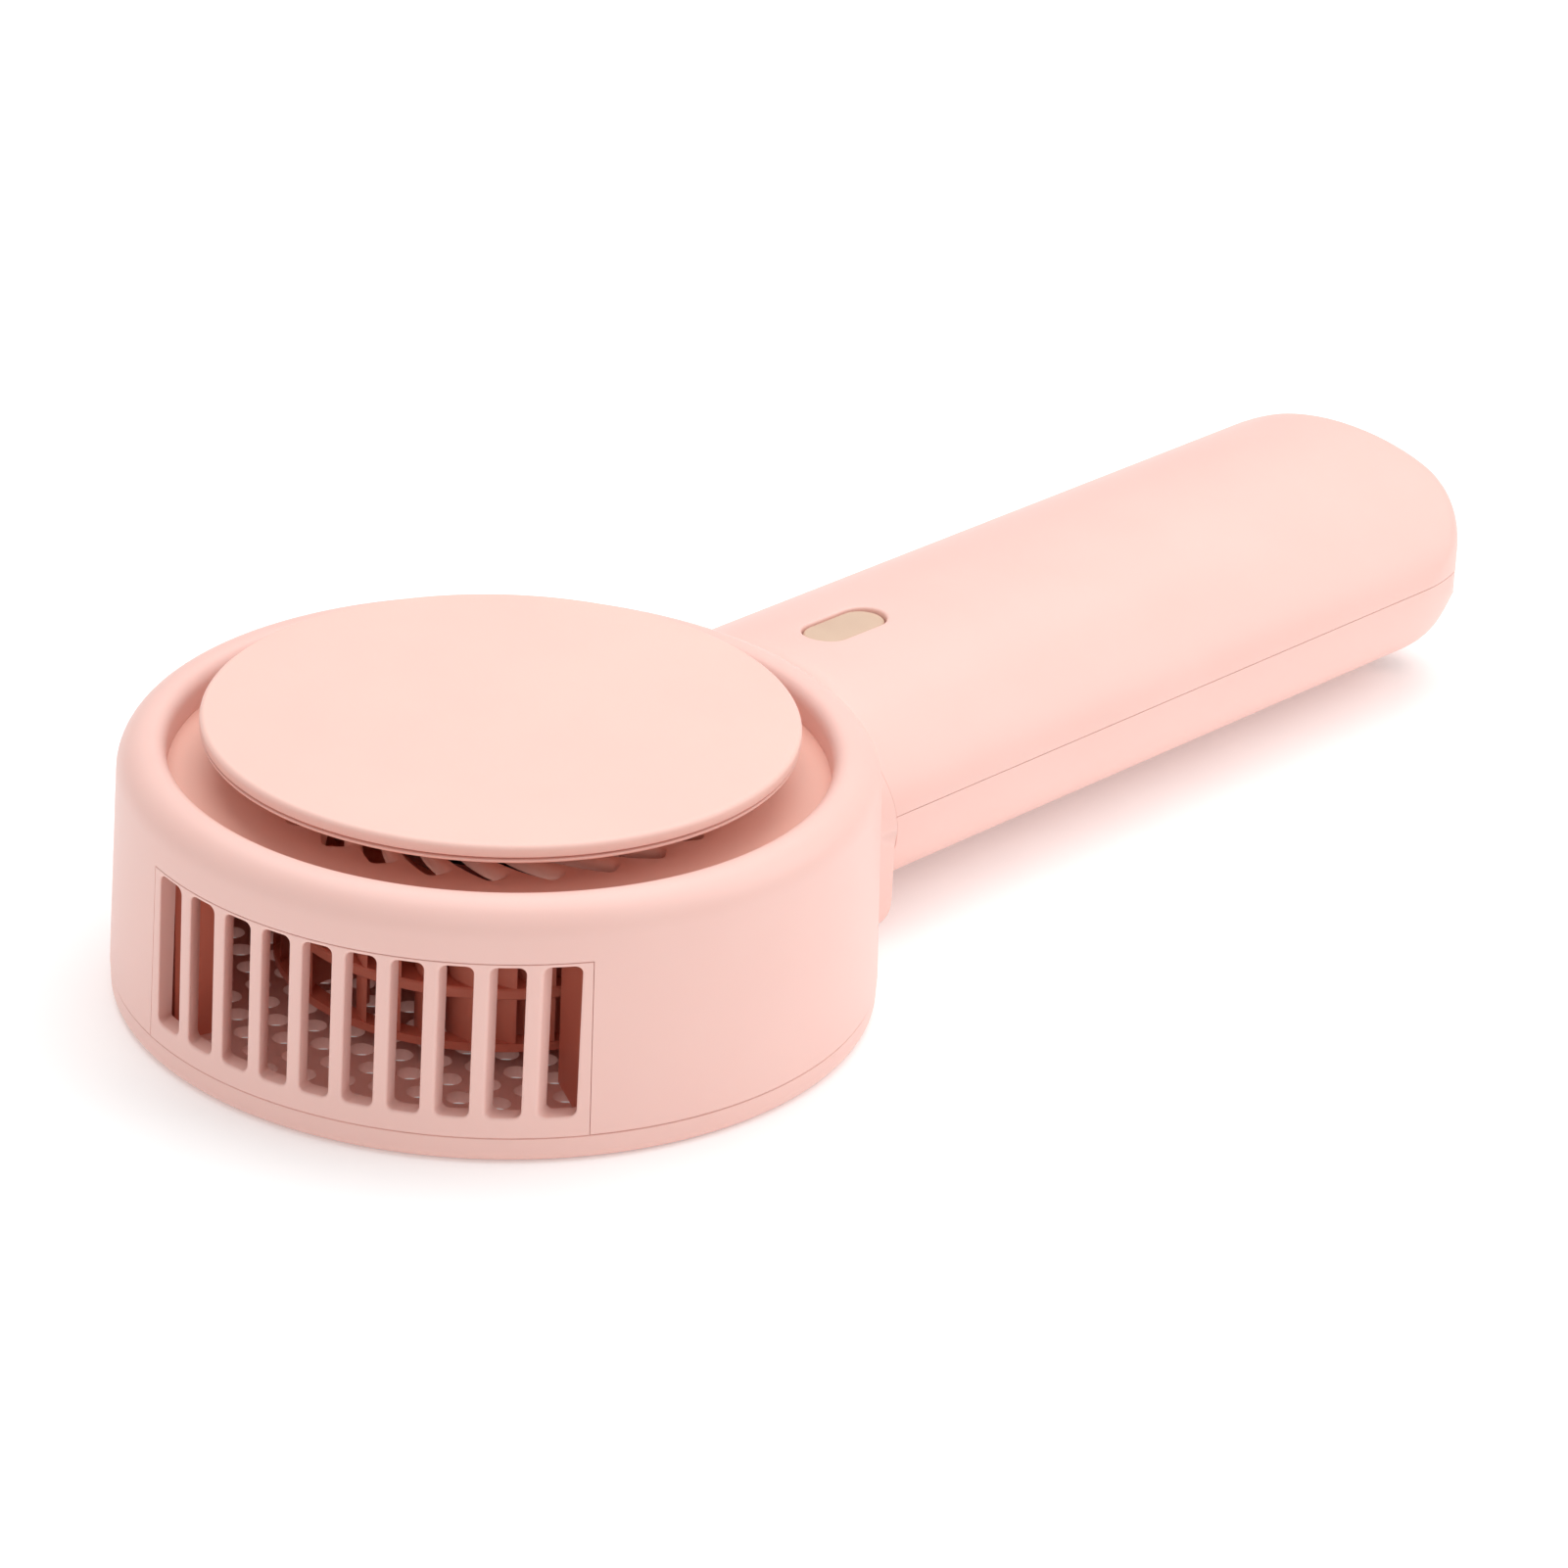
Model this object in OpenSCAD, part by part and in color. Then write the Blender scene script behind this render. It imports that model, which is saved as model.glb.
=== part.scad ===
// Handheld centrifugal fan. A flat round blower head draws air in under a floating
// cover disc and through a perforated back, and blows it out of a slotted grille in
// the drum's wall. An oval two-shell handle holds the cell, the board and the button.
//
// Frame: Z is the drum's axis and the impeller's shaft, with Z = 0 at the flat back.
// X runs along the handle. The grille looks towards -X, turned a little towards -Y.

/* [Head] */
// Radius of the drum where it meets the back cover
drum_r = 45; // [44:0.5:46]
// How much smaller the drum's radius is at its top
drum_draft = 0.65; // [0.3:0.05:1]
// Height of the drum's rounded rim
rim_z = 31.4; // [31:0.1:32]
// Thickness of the drum's wall
drum_wall = 2.0; // [1.6:0.1:2.2]
// Height of the seam between drum and back cover
seam_z = 3.2; // [3:0.1:3.6]
// Radius of the floating cover disc
disc_r = 34.8; // [33:0.2:35.5]
// Height of the cover disc's top face
disc_top_z = 34.6; // [34.4:0.1:35.2]

/* [Intake and outlet] */
// Number of curved-in intake slots in the dish
intake_slots = 25; // [15:1:25]
// Number of slots in the outlet grille
outlet_slots = 10; // [8:1:10]
// Distance between neighbouring outlet slots
outlet_pitch = 5.34; // [5:0.02:5.4]
// Width of one outlet slot
outlet_w = 3.65; // [3:0.05:3.8]
// Direction that the outlet faces, measured from +X
outlet_dir = 201.7; // [198:0.1:205]
// Angle that the outlet insert spans round the drum
outlet_span = 74.8; // [74:0.1:78]
// Spacing of the air holes in the back cover
back_pitch = 4.6; // [4.4:0.1:6]
// Diameter of one air hole in the back cover
back_hole_d = 3.0; // [2:0.1:3.2]

/* [Handle] */
// Width of the handle
handle_w = 47.5; // [46:0.5:48]
// Height of the handle
handle_h = 28; // [27:0.5:29]
// X of the handle's far end
handle_end_x = 158.8; // [158:0.2:170]
// Radius of the far end's corners, seen from above
end_corner_r = 13; // [10:0.5:14]
// Height of the parting line between the two shells
parting_z = 16; // [15.5:0.5:16.5]
// X of the middle of the button
button_x = 60.1; // [59:0.1:62]
// How far the button stands off the handle's middle line
button_y = 1.2; // [0:0.1:1.4]
// Length of the button
button_l = 12; // [11:0.1:12.5]
// Width of the button
button_w = 5.8; // [5:0.1:6]

/* [Impeller] */
// Outer radius of the impeller
impeller_r = 26; // [24:0.5:27]
// Number of impeller blades
blades = 36; // [24:1:40]

/* [Hidden] */

$fn = 96;
eps = 0.01;
seam_gap = 0.1;               // visible gap between neighbouring mouldings

pink = [0.96, 0.78, 0.72];
pale = [0.97, 0.83, 0.78];
beige = [0.86, 0.75, 0.66];
steel = [0.72, 0.73, 0.75];
dark = [0.16, 0.16, 0.17];
copper = [0.72, 0.42, 0.22];

// Head
rim_round = 4;                // outer rounding of the rim
lip_round = 1.8;              // inner rounding of the rim
rim_top_r = drum_r - drum_draft;
crest_r = rim_top_r - rim_round;
lip_r = crest_r - lip_round;
inner_r = drum_r - drum_wall;
inner_top_r = rim_top_r - drum_wall;
dish_edge_z = rim_z - 3.9;    // dish surface where it meets the lip
dish_t = 1.6;
dish_r = inner_top_r - 1.2;
dish_mid_z = dish_edge_z - 0.5;
dish_under_z = dish_mid_z - dish_t;
boss_r = 2.2;
boss_at = drum_r - 4.8;       // radius of the back cover's screw circle
boss_top_z = dish_edge_z - dish_t - 0.15;
boss_angles = [45, 135, 258, 315];
boss_pilot_r = 0.7;
plate_t = 1.4;                // back cover plate

// Outlet
grille_from = outlet_dir - outlet_span / 2;
grille_top_z = 24.7;
grille_t = 2.4;
slot_low_z = 5.7;
slot_high_z = 24.2;
slot_corner = 0.8;

// Intake
slot_in_r = 16.6;
slot_out_r = 27.4;
slot_w = 2.1;
slot_sweep = 34;              // how far a slot's inner end leans away from the radius
slot_bend_r = 18.9;           // radius of its curve seen from above
slot_turn = 42;               // how much of that curve it takes, without its ends
slot_over = 2.3;              // and how much more at each end
slot_phase = -2.3;            // direction of the first slot's inner end

// Disc and its column
carrier_t = 0.9;
carrier_z = disc_top_z - 2.2;
cap_z = carrier_z + carrier_t;
column_r = 11;
stack_screw_at = 8.5;
stack_screw_r = 0.9;

// Motor, hung from the dish
base_t = 1.6;
base_top_z = dish_under_z;
base_z = base_top_z - base_t;
base_r = 13;
tube_r = 3.4;
tube_low_z = 12.6;
shaft_r = 1;
bearing_fit = 0.02;
shaft_low_z = 8.6;
shaft_high_z = dish_mid_z - 0.5;
clip_t = 0.4;
clip_z = dish_under_z + 0.3;
clip_depth = 0.25;
bearing_r = 2.5;
bell_r = 11.9;
bell_wall = 0.8;
bell_low_z = 10.2;
bell_high_z = 20.6;
core_r = 9.4;
core_z = 13.4;
core_h = 5.6;
poles = 9;
magnets = 12;

// Impeller
hub_z = 10.8;
hub_t = 1.4;
impeller_low_z = 4.2;
impeller_high_z = 22.2;
blade_in_r = impeller_r - 5;
ring_h = 1;

// Volute: an inner wall that winds outwards round the impeller
volute_from = outlet_dir + outlet_span / 2 + 1;
volute_turn = 360 - outlet_span - 2;
volute_start_r = impeller_r + 2.6;
volute_end_r = drum_r - 8.6;
volute_t = 1.2;
volute_top_z = 23.8;

// Handle
handle_z = handle_h / 2;
shell_t = 2;
end_under_r = 8;              // rounding under the handle's far end
front_x = 43.5;               // flat front of the handle and rear of the neck
front_gap = 0.5;              // gap where the handle hugs the drum
neck_low_r = 5;
neck_low_z = 0.2;
spigot_end_x = 52.6;
spigot_slack = 0.15;
clamp_x = 49;
clamp_y = 12;
clamp_r = 1;

end_post_x = handle_end_x - 7.4;

// Handle screws: one pair holds the neck, one pair closes the far end
screw_spots = [[clamp_x, clamp_y], [clamp_x, -clamp_y], [end_post_x, 13], [end_post_x, -13]];
post_r = 2.6;
screw_r = 1;
screw_head_r = 1.9;

// Button and switch
button_gap = 0.25;
button_top_z = handle_h - 0.4;
flange_top_z = handle_h - shell_t - 0.7;
flange_t = 1.2;
flange_rim = 1.1;
button_low_z = flange_top_z - flange_t;
board_z = 18;
board_t = 1;
switch_h = 3.5;
plunger_r = 1.6;
plunger_fit = 0.05;

// Cell, boards and socket
cell_r = 9.2;
cell_l = 65;
cell_x = 81;
cell_z = 12;
usb_z = 8.2;
usb_t = 1;
socket_w = 8.9;
socket_h = 3.2;
socket_l = 7.3;
socket_wall = 0.3;
socket_x = handle_end_x - 0.4;

lead_r = 0.55;
lead_z = dish_under_z - 0.8;
lead_drop_x = 40.6;
lead_neck_z = 13;

// Points of an arc about c, from angle a to angle b
function arc(c, r, a, b, n) =
    [for (i = [0:n]) c + r * [cos(a + (b - a) * i / n), sin(a + (b - a) * i / n)]];

// Points of an ellipse about (0, z)
function oval(w, h, z, n = 72) =
    [for (i = [0:n - 1]) [w / 2 * cos(360 * i / n), z + h / 2 * sin(360 * i / n)]];

// Spiral radius of the volute after t degrees of its turn
function volute_r(t) = volute_start_r + (volute_end_r - volute_start_r) * t / volute_turn;

module ring(r_out, r_in, h) {
    difference() {
        cylinder(r = r_out, h = h);
        translate([0, 0, -eps]) cylinder(r = r_in, h = h + 2 * eps);
    }
}

// A stadium-shaped prism along X, standing on z = 0
module stadium(l, w, h) {
    for (s = [-1, 1]) translate([s * (l - w) / 2, 0, 0]) cylinder(d = w, h = h);
    translate([-(l - w) / 2, -w / 2, 0]) cube([l - w, w, h]);
}

// A box with rounded corners in its Y-Z face, running along X
module rounded_slot(l, w, h, r) {
    translate([0, -w / 2, r]) cube([l, w, h - 2 * r]);
    translate([0, -w / 2 + r, 0]) cube([l, w - 2 * r, h]);
    for (y = [-1, 1], z = [r, h - r])
        translate([0, y * (w / 2 - r), z]) rotate([0, 90, 0]) cylinder(r = r, h = l, $fn = 32);
}

// Places its children on the back cover's screw circle
module at_bosses() {
    for (a = boss_angles) rotate(a) translate([boss_at, 0, 0]) children();
}

// Places its children on the three screws through motor base, dish and column
module at_stack_screws() {
    for (a = [60, 180, 300]) rotate(a) translate([stack_screw_at, 0, 0]) children();
}

// The drum's outside up to its rim, as a solid of revolution
module drum_envelope(grow = 0) {
    rotate_extrude()
        polygon(concat([[0, 0], [drum_r + grow, 0], [drum_r + grow, seam_z]],
            arc([crest_r, rim_z - rim_round], rim_round + grow, 0, 90, 10),
            [[0, rim_z + grow]]));
}

module head_shell() {
    color(pink) difference() {
        union() {
            rotate_extrude()
                polygon(concat([[inner_r, seam_z], [drum_r, seam_z]],
                    arc([crest_r, rim_z - rim_round], rim_round, 0, 90, 10),
                    arc([crest_r, rim_z - lip_round], lip_round, 90, 180, 6),
                    [[lip_r, dish_edge_z], [inner_top_r, dish_edge_z]]));
            intersection() {
                at_bosses() {
                    translate([0, 0, plate_t]) cylinder(r = boss_r, h = boss_top_z - plate_t);
                    translate([0, -0.6, seam_z + 0.2]) cube([4, 1.2, boss_top_z - seam_z - 0.2]);
                }
                drum_envelope(-drum_wall / 2);
            }
        }
        at_bosses() cylinder(r = boss_pilot_r, h = 9);
        rotate(grille_from) rotate_extrude(angle = outlet_span)
            translate([inner_r - 5, 0]) square([drum_wall + 7, grille_top_z]);
        for (y = [-1, 1]) translate([drum_r - 8, y * clamp_y, handle_z])
            rotate([0, 90, 0]) cylinder(r = clamp_r + 0.1, h = 10);
        translate([drum_r - 8, 0, lead_neck_z]) rotate([0, 90, 0]) cylinder(r = 2.5, h = 10);
    }
}

module outlet_grille() {
    inset = seam_gap / drum_r * 57.3;
    color(pink) difference() {
        rotate(grille_from + inset) rotate_extrude(angle = outlet_span - 2 * inset)
            polygon([[drum_r - grille_t, seam_z], [drum_r, seam_z],
                [drum_r - drum_draft * (grille_top_z - seam_z) / (rim_z - rim_round - seam_z),
                    grille_top_z - seam_gap],
                [drum_r - drum_draft - grille_t, grille_top_z - seam_gap]]);
        rotate(outlet_dir) for (i = [0:outlet_slots - 1])
            translate([20, (i - (outlet_slots - 1) / 2) * outlet_pitch, slot_low_z])
                rounded_slot(30, outlet_w, slot_high_z - slot_low_z, slot_corner);
    }
}

// One curved slot, from its inner end on the X axis outwards
module intake_slot() {
    translate([slot_in_r, 0, dish_under_z - 1]) rotate(slot_sweep - 90)
        translate([-slot_bend_r, 0, 0]) rotate(-slot_over)
            rotate_extrude(angle = slot_turn + 2 * slot_over)
                translate([slot_bend_r - slot_w / 2, 0]) square([slot_w, dish_t + 2]);
}

module intake_dish() {
    color(pink) difference() {
        rotate_extrude()
            polygon([[0, dish_under_z], [slot_out_r + 2, dish_under_z],
                [lip_r, dish_edge_z - dish_t], [dish_r, dish_edge_z - dish_t],
                [dish_r, dish_edge_z], [lip_r, dish_edge_z],
                [slot_out_r + 2, dish_mid_z], [0, dish_mid_z]]);
        for (i = [0:intake_slots - 1]) rotate(slot_phase + i * 360 / intake_slots)
            intake_slot();
        at_stack_screws() translate([0, 0, dish_under_z - 1]) cylinder(r = stack_screw_r, h = 4);
        translate([0, 0, dish_under_z - 1]) cylinder(r = 2, h = 4);
    }
}

module cover_disc() {
    edge = 0.7;
    color(pale) rotate_extrude()
        polygon(concat([[0, cap_z], [disc_r, cap_z]],
            arc([disc_r - edge, disc_top_z - edge], edge, 0, 90, 6),
            [[0, disc_top_z]]));
}

module disc_carrier() {
    color(pink) difference() {
        union() {
            translate([0, 0, carrier_z]) cylinder(r = disc_r - 0.25, h = carrier_t);
            translate([0, 0, dish_mid_z]) cylinder(r = column_r, h = carrier_z - dish_mid_z);
        }
        at_stack_screws() translate([0, 0, dish_mid_z - 1]) cylinder(r = stack_screw_r, h = 5);
    }
}

module back_cover() {
    rows = ceil(drum_r / back_pitch);
    edge = 1.4;
    color(pink) difference() {
        rotate_extrude()
            polygon(concat([[0, 0]], arc([drum_r - 0.1 - edge, edge], edge, -90, 0, 6),
                [[drum_r - 0.1, seam_z - seam_gap / 2], [inner_r - 0.2, seam_z - seam_gap / 2],
                    [inner_r - 0.2, plate_t], [0, plate_t]]));
        for (j = [-rows:rows], i = [-rows:rows]) {
            x = (i + (abs(j) % 2) / 2) * back_pitch;
            y = j * back_pitch * sqrt(3) / 2;
            r = norm([x, y]);
            near_boss = min([for (a = boss_angles) norm([x, y] - boss_at * [cos(a), sin(a)])]);
            if (r > 13 && r < 38.8 && near_boss > boss_r + back_hole_d / 2 + 0.4)
                translate([x, y, -1]) cylinder(d = back_hole_d, h = plate_t + 2, $fn = 32);
        }
        at_bosses() {
            translate([0, 0, -1]) cylinder(r = 0.95, h = 4);
            translate([0, 0, -1]) cylinder(r = 1.75, h = 1.9);
        }
    }
}

module volute() {
    n = 56;
    outer = [for (i = [0:n]) let (t = volute_turn * i / n)
        (volute_r(t) + volute_t) * [cos(volute_from + t), sin(volute_from + t)]];
    inner = [for (i = [n:-1:0]) let (t = volute_turn * i / n)
        volute_r(t) * [cos(volute_from + t), sin(volute_from + t)]];
    end_a = volute_from + volute_turn;
    color(pink) translate([0, 0, plate_t]) {
        linear_extrude(volute_top_z - plate_t) polygon(concat(outer, inner));
        // Walls that lead the air from the spiral's ends to the grille's sides
        rotate(end_a) translate([volute_end_r, -volute_t, 0])
            cube([drum_r - grille_t - 1.1 - volute_end_r, volute_t, volute_top_z - plate_t]);
        rotate(volute_from) translate([volute_start_r, 0, 0])
            cube([drum_r - grille_t - 1.1 - volute_start_r, volute_t, volute_top_z - plate_t]);
    }
}

// The fuller outline of the neck: oval above, rounded square corners below
module neck_outline() {
    polygon(concat(
        [for (i = [0:24]) [handle_w / 2 * cos(7.5 * i), handle_z + handle_h / 2 * sin(7.5 * i)]],
        arc([-handle_w / 2 + neck_low_r, neck_low_z + neck_low_r], neck_low_r, 180, 270, 6),
        arc([handle_w / 2 - neck_low_r, neck_low_z + neck_low_r], neck_low_r, 270, 360, 6)));
}

// Extrudes an outline drawn in Y-Z along X
module along_x(x0, x1) {
    translate([x0, 0, 0]) rotate([90, 0, 90]) linear_extrude(x1 - x0) children();
}

module neck_block() {
    spigot_drop = 2 * (shell_t + spigot_slack);
    color(pink) difference() {
        union() {
            along_x(34, front_x - seam_gap) neck_outline();
            along_x(34, spigot_end_x)
                polygon(oval(handle_w - spigot_drop, handle_h - spigot_drop, handle_z));
        }
        translate([0, 0, -1]) cylinder(r = drum_r + 0.02, h = 40);
        for (y = [-1, 1]) {
            translate([30, y * clamp_y, handle_z]) rotate([0, 90, 0])
                cylinder(r = clamp_r - 0.2, h = 17);
            translate([clamp_x, y * clamp_y, -1]) cylinder(r = post_r + 0.1, h = 40);
        }
        translate([30, 0, lead_neck_z]) rotate([0, 90, 0]) cylinder(r = 2.5, h = 40);
    }
}

// A pan-head screw with its shank up +Z and its head below z = 0
module screw(r, l, head_r, head_h) {
    difference() {
        union() {
            cylinder(r = r, h = l);
            translate([0, 0, -head_h]) cylinder(r = head_r, h = head_h);
        }
        for (a = [0, 90]) rotate(a) translate([-head_r * 0.6, -0.2, -head_h - eps])
            cube([head_r * 1.2, 0.4, head_h * 0.5]);
    }
}

module back_cover_screws() {
    color(steel) at_bosses() translate([0, 0, 0.9]) screw(boss_pilot_r, 6.5, 1.6, 0.7);
}

module neck_screws() {
    wall_x = sqrt(pow(inner_r - 0.3, 2) - pow(clamp_y + 1.8, 2));
    color(steel) for (y = [-1, 1]) translate([wall_x, y * clamp_y, handle_z])
        rotate([0, 90, 0]) screw(clamp_r - 0.2, 45.6 - wall_x, 1.8, 1.1);
}

module motor_base() {
    color(dark) difference() {
        union() {
            translate([0, 0, base_z]) cylinder(r = base_r, h = base_t);
            translate([0, 0, tube_low_z]) cylinder(r = tube_r, h = base_top_z - tube_low_z);
        }
        translate([0, 0, tube_low_z - 1]) cylinder(r = bearing_r, h = 3.5);
        translate([0, 0, base_top_z - 2.5]) cylinder(r = bearing_r, h = 3);
        translate([0, 0, tube_low_z]) cylinder(r = 1.6, h = 20);
        at_stack_screws() translate([0, 0, base_z - 1]) cylinder(r = stack_screw_r, h = 4);
    }
}

module stator_core() {
    shoe = 30;
    color(steel) translate([0, 0, core_z]) linear_extrude(core_h) {
        difference() {
            circle(r = 5.4);
            circle(r = tube_r);
        }
        for (i = [0:poles - 1]) rotate(i * 360 / poles) {
            translate([5, -0.7]) square([3.8, 1.4]);
            polygon(concat(arc([0, 0], core_r, -shoe / 2, shoe / 2, 6),
                arc([0, 0], core_r - 1.1, shoe / 2, -shoe / 2, 6)));
        }
    }
}

module stator_coils() {
    color(copper) for (i = [0:poles - 1]) rotate(i * 360 / poles)
        translate([5.7, 0, core_z]) difference() {
            translate([0, -1.3, -0.7]) cube([2.3, 2.6, core_h + 1.4]);
            translate([-1, -0.7, 0]) cube([5, 1.4, core_h]);
        }
}

module motor_bearings() {
    color(steel) for (z = [tube_low_z, base_top_z - 2.5])
        translate([0, 0, z]) ring(bearing_r, shaft_r + bearing_fit, 2.5);
}

module motor_screws() {
    color(steel) at_stack_screws() translate([0, 0, base_z])
        screw(stack_screw_r, 7, 1.7, 1.1);
}

// A round lead through a list of points, with round elbows
module lead(points, r) {
    for (i = [0:len(points) - 2]) {
        d = points[i + 1] - points[i];
        translate(points[i]) {
            sphere(r = r * 1.03, $fn = 24);
            rotate([0, acos(d[2] / norm(d)), atan2(d[1], d[0])])
                cylinder(r = r, h = norm(d), $fn = 24);
        }
    }
    translate(points[len(points) - 1]) sphere(r = r * 1.03, $fn = 24);
}

module motor_leads() {
    color(dark) for (i = [-1:1]) lead([
        [base_r + 0.7, i * 1.3, lead_z],
        [lead_drop_x, i * 1.3, lead_z],
        [lead_drop_x, i * 1.3, lead_neck_z],
        [spigot_end_x + 3, i * 1.3, lead_neck_z],
        [spigot_end_x + 3, i * 1.3, board_z - lead_r]], lead_r);
}

// One forward-curved blade, drawn in the plane
module blade() {
    thickness = 0.7;
    lean = 9;
    tip_r = impeller_r - 0.3;
    n = 4;
    front = [for (i = [0:n]) let (s = i / n)
        (blade_in_r + (tip_r - blade_in_r) * s) * [cos(lean * s * s), sin(lean * s * s)]];
    back = [for (i = [n:-1:0]) front[i] + [0, thickness]];
    polygon(concat(front, back));
}

module impeller() {
    color(pink) {
        translate([0, 0, hub_z]) ring(impeller_r, bell_r, hub_t);
        translate([0, 0, hub_z]) ring(bell_r + 1.2, bell_r, 8);
        for (i = [0:blades - 1]) rotate(i * 360 / blades)
            translate([0, 0, impeller_low_z + ring_h / 2])
                linear_extrude(impeller_high_z - impeller_low_z - ring_h) blade();
        for (z = [impeller_low_z, impeller_high_z - ring_h])
            translate([0, 0, z]) ring(impeller_r, impeller_r - 2.2, ring_h);
    }
}

module rotor_bell() {
    color(steel) {
        translate([0, 0, bell_low_z]) ring(bell_r, bell_r - bell_wall, bell_high_z - bell_low_z);
        translate([0, 0, bell_low_z]) ring(bell_r - bell_wall + eps, shaft_r, bell_wall);
    }
}

module rotor_magnets() {
    gap = 3;
    outer = bell_r - bell_wall;
    color(dark) translate([0, 0, core_z - 0.4]) for (i = [0:magnets - 1])
        rotate(i * 360 / magnets) rotate_extrude(angle = 360 / magnets - gap)
            translate([outer - 1.2, 0]) square([1.2, core_h + 0.8]);
}

module motor_shaft() {
    color(steel) difference() {
        translate([0, 0, shaft_low_z]) cylinder(r = shaft_r, h = shaft_high_z - shaft_low_z);
        translate([0, 0, clip_z]) ring(shaft_r + 1, shaft_r - clip_depth, clip_t);
    }
}

module shaft_clip() {
    color(steel) translate([0, 0, clip_z]) difference() {
        ring(1.6, shaft_r - clip_depth, clip_t);
        translate([0, -0.5, -1]) cube([4, 1, 3]);
    }
}

// Outline of the handle seen from above, drawn back by inset all round
module handle_plan(inset) {
    w = handle_w / 2 - inset;
    r = end_corner_r - inset;
    x = handle_end_x - inset;
    polygon(concat([[front_x + inset, w], [front_x + inset, -w]],
        arc([x - r, -w + r], r, -90, 0, 10),
        arc([x - r, w - r], r, 0, 90, 10)));
}

// Outline of the handle seen from its side, with the round underside of its far end
module handle_side(inset) {
    r = end_under_r - inset;
    x = handle_end_x - inset;
    polygon(concat([[front_x - 1, handle_h + 1], [front_x - 1, inset]],
        arc([x - r, inset + r], r, -90, 0, 10), [[x, handle_h + 1]]));
}

// Solid of the handle, drawn back by inset on every face
module handle_solid(inset = 0) {
    intersection() {
        translate([0, 40, 0]) rotate([90, 0, 0]) linear_extrude(80) handle_side(inset);
        along_x(front_x, handle_end_x)
            polygon(oval(handle_w - 2 * inset, handle_h - 2 * inset, handle_z));
        linear_extrude(handle_h + 1) handle_plan(inset);
    }
}

// Hollow handle with its front opened for the neck and cut to clear the drum
module handle_hollow() {
    difference() {
        handle_solid();
        handle_solid(shell_t);
        along_x(front_x - 1, front_x + shell_t + 1)
            polygon(oval(handle_w - 2 * shell_t, handle_h - 2 * shell_t, handle_z));
        translate([0, 0, -1]) cylinder(r = drum_r + front_gap, h = handle_h + 2);
    }
}

module below_parting(gap = 0) {
    translate([0, -40, -1]) cube([200, 80, parting_z + 1 - gap]);
}

module handle_upper_shell() {
    color(pink) difference() {
        union() {
            difference() {
                handle_hollow();
                below_parting();
            }
            intersection() {
                for (p = screw_spots) translate([p[0], p[1], parting_z])
                    cylinder(r = post_r, h = 12);
                handle_solid(shell_t / 2);
            }
        }
        for (p = screw_spots) translate([p[0], p[1], 0]) cylinder(r = screw_r - 0.2, h = 21);
        translate([button_x, button_y, handle_h - shell_t - 2])
            stadium(button_l + 2 * button_gap, button_w + 2 * button_gap, 6);
    }
}

module handle_lower_shell() {
    color(pink) difference() {
        union() {
            intersection() {
                handle_hollow();
                below_parting(seam_gap / 2);
            }
            intersection() {
                for (p = screw_spots) translate([p[0], p[1], 0])
                    cylinder(r = post_r, h = parting_z);
                handle_solid(shell_t / 2);
                below_parting(seam_gap / 2);
            }
        }
        for (p = screw_spots) translate([p[0], p[1], -1]) {
            cylinder(r = screw_r + 0.1, h = 30);
            cylinder(r = screw_head_r + 0.1, h = 7);
        }
        translate([handle_end_x - 4, 0, usb_z + usb_t - 0.15])
            rounded_slot(6, socket_w + 0.4, socket_h + 0.3, socket_h / 2);
    }
}

module handle_screws() {
    color(steel) for (p = screw_spots) translate([p[0], p[1], 6])
        screw(screw_r - 0.2, 13, screw_head_r, 1.4);
}

module battery_cell() {
    color([0.2, 0.45, 0.65]) translate([cell_x, 0, cell_z]) rotate([0, 90, 0]) {
        cylinder(r = cell_r, h = cell_l);
        translate([0, 0, cell_l]) cylinder(r = 3.5, h = 1.2);
    }
}

module battery_pads() {
    color(dark) for (x = [cell_x + 8, cell_x + cell_l - 18]) intersection() {
        difference() {
            translate([x, -11, 2]) cube([10, 22, 9]);
            translate([x - 1, 0, cell_z]) rotate([0, 90, 0]) cylinder(r = cell_r, h = 12);
        }
        handle_solid(shell_t);
    }
}

module battery_leads() {
    far_x = cell_x + cell_l + 1.8;
    near_x = cell_x - 3;
    color([0.7, 0.1, 0.1]) lead([
        [far_x, 2, cell_z],
        [far_x, 11.8, cell_z],
        [near_x, 11.8, cell_z],
        [near_x, 7, cell_z],
        [near_x, 7, board_z - lead_r]], lead_r);
    color(dark) lead([
        [cell_x - lead_r, -5, cell_z],
        [near_x, -5, cell_z],
        [near_x, -5, board_z - lead_r]], lead_r);
}

module control_board() {
    color([0.1, 0.35, 0.2]) translate([spigot_end_x + 1, -9, board_z])
        cube([cell_x - spigot_end_x - 2.5, 18, board_t]);
}

module board_parts() {
    top = board_z + board_t;
    color(dark) {
        translate([68, -2.5, top]) cube([5, 5, 0.9]);
        translate([68, 4, top]) cube([4, 4, 2.2]);
        translate([74.5, -7, top]) cube([2, 1.2, 0.7]);
        translate([74.5, -4, top]) cube([2, 1.2, 0.7]);
        translate([58, 5, top]) cube([3, 2.5, 1.1]);
    }
}

module power_switch() {
    top = board_z + board_t;
    color(dark) difference() {
        translate([button_x - 3, -3, top]) cube([6, 6, switch_h]);
        translate([button_x, 0, top + 0.8]) cylinder(r = plunger_r + plunger_fit, h = 5);
    }
}

module switch_plunger() {
    low = board_z + board_t + 1.8;
    color(steel) translate([button_x, 0, low]) cylinder(r = plunger_r, h = button_low_z - low);
}

module button() {
    color(beige) translate([button_x, button_y, button_low_z]) {
        stadium(button_l + 2 * flange_rim, button_w + 2 * flange_rim, flange_t);
        stadium(button_l, button_w, button_top_z - button_low_z);
    }
}

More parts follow.
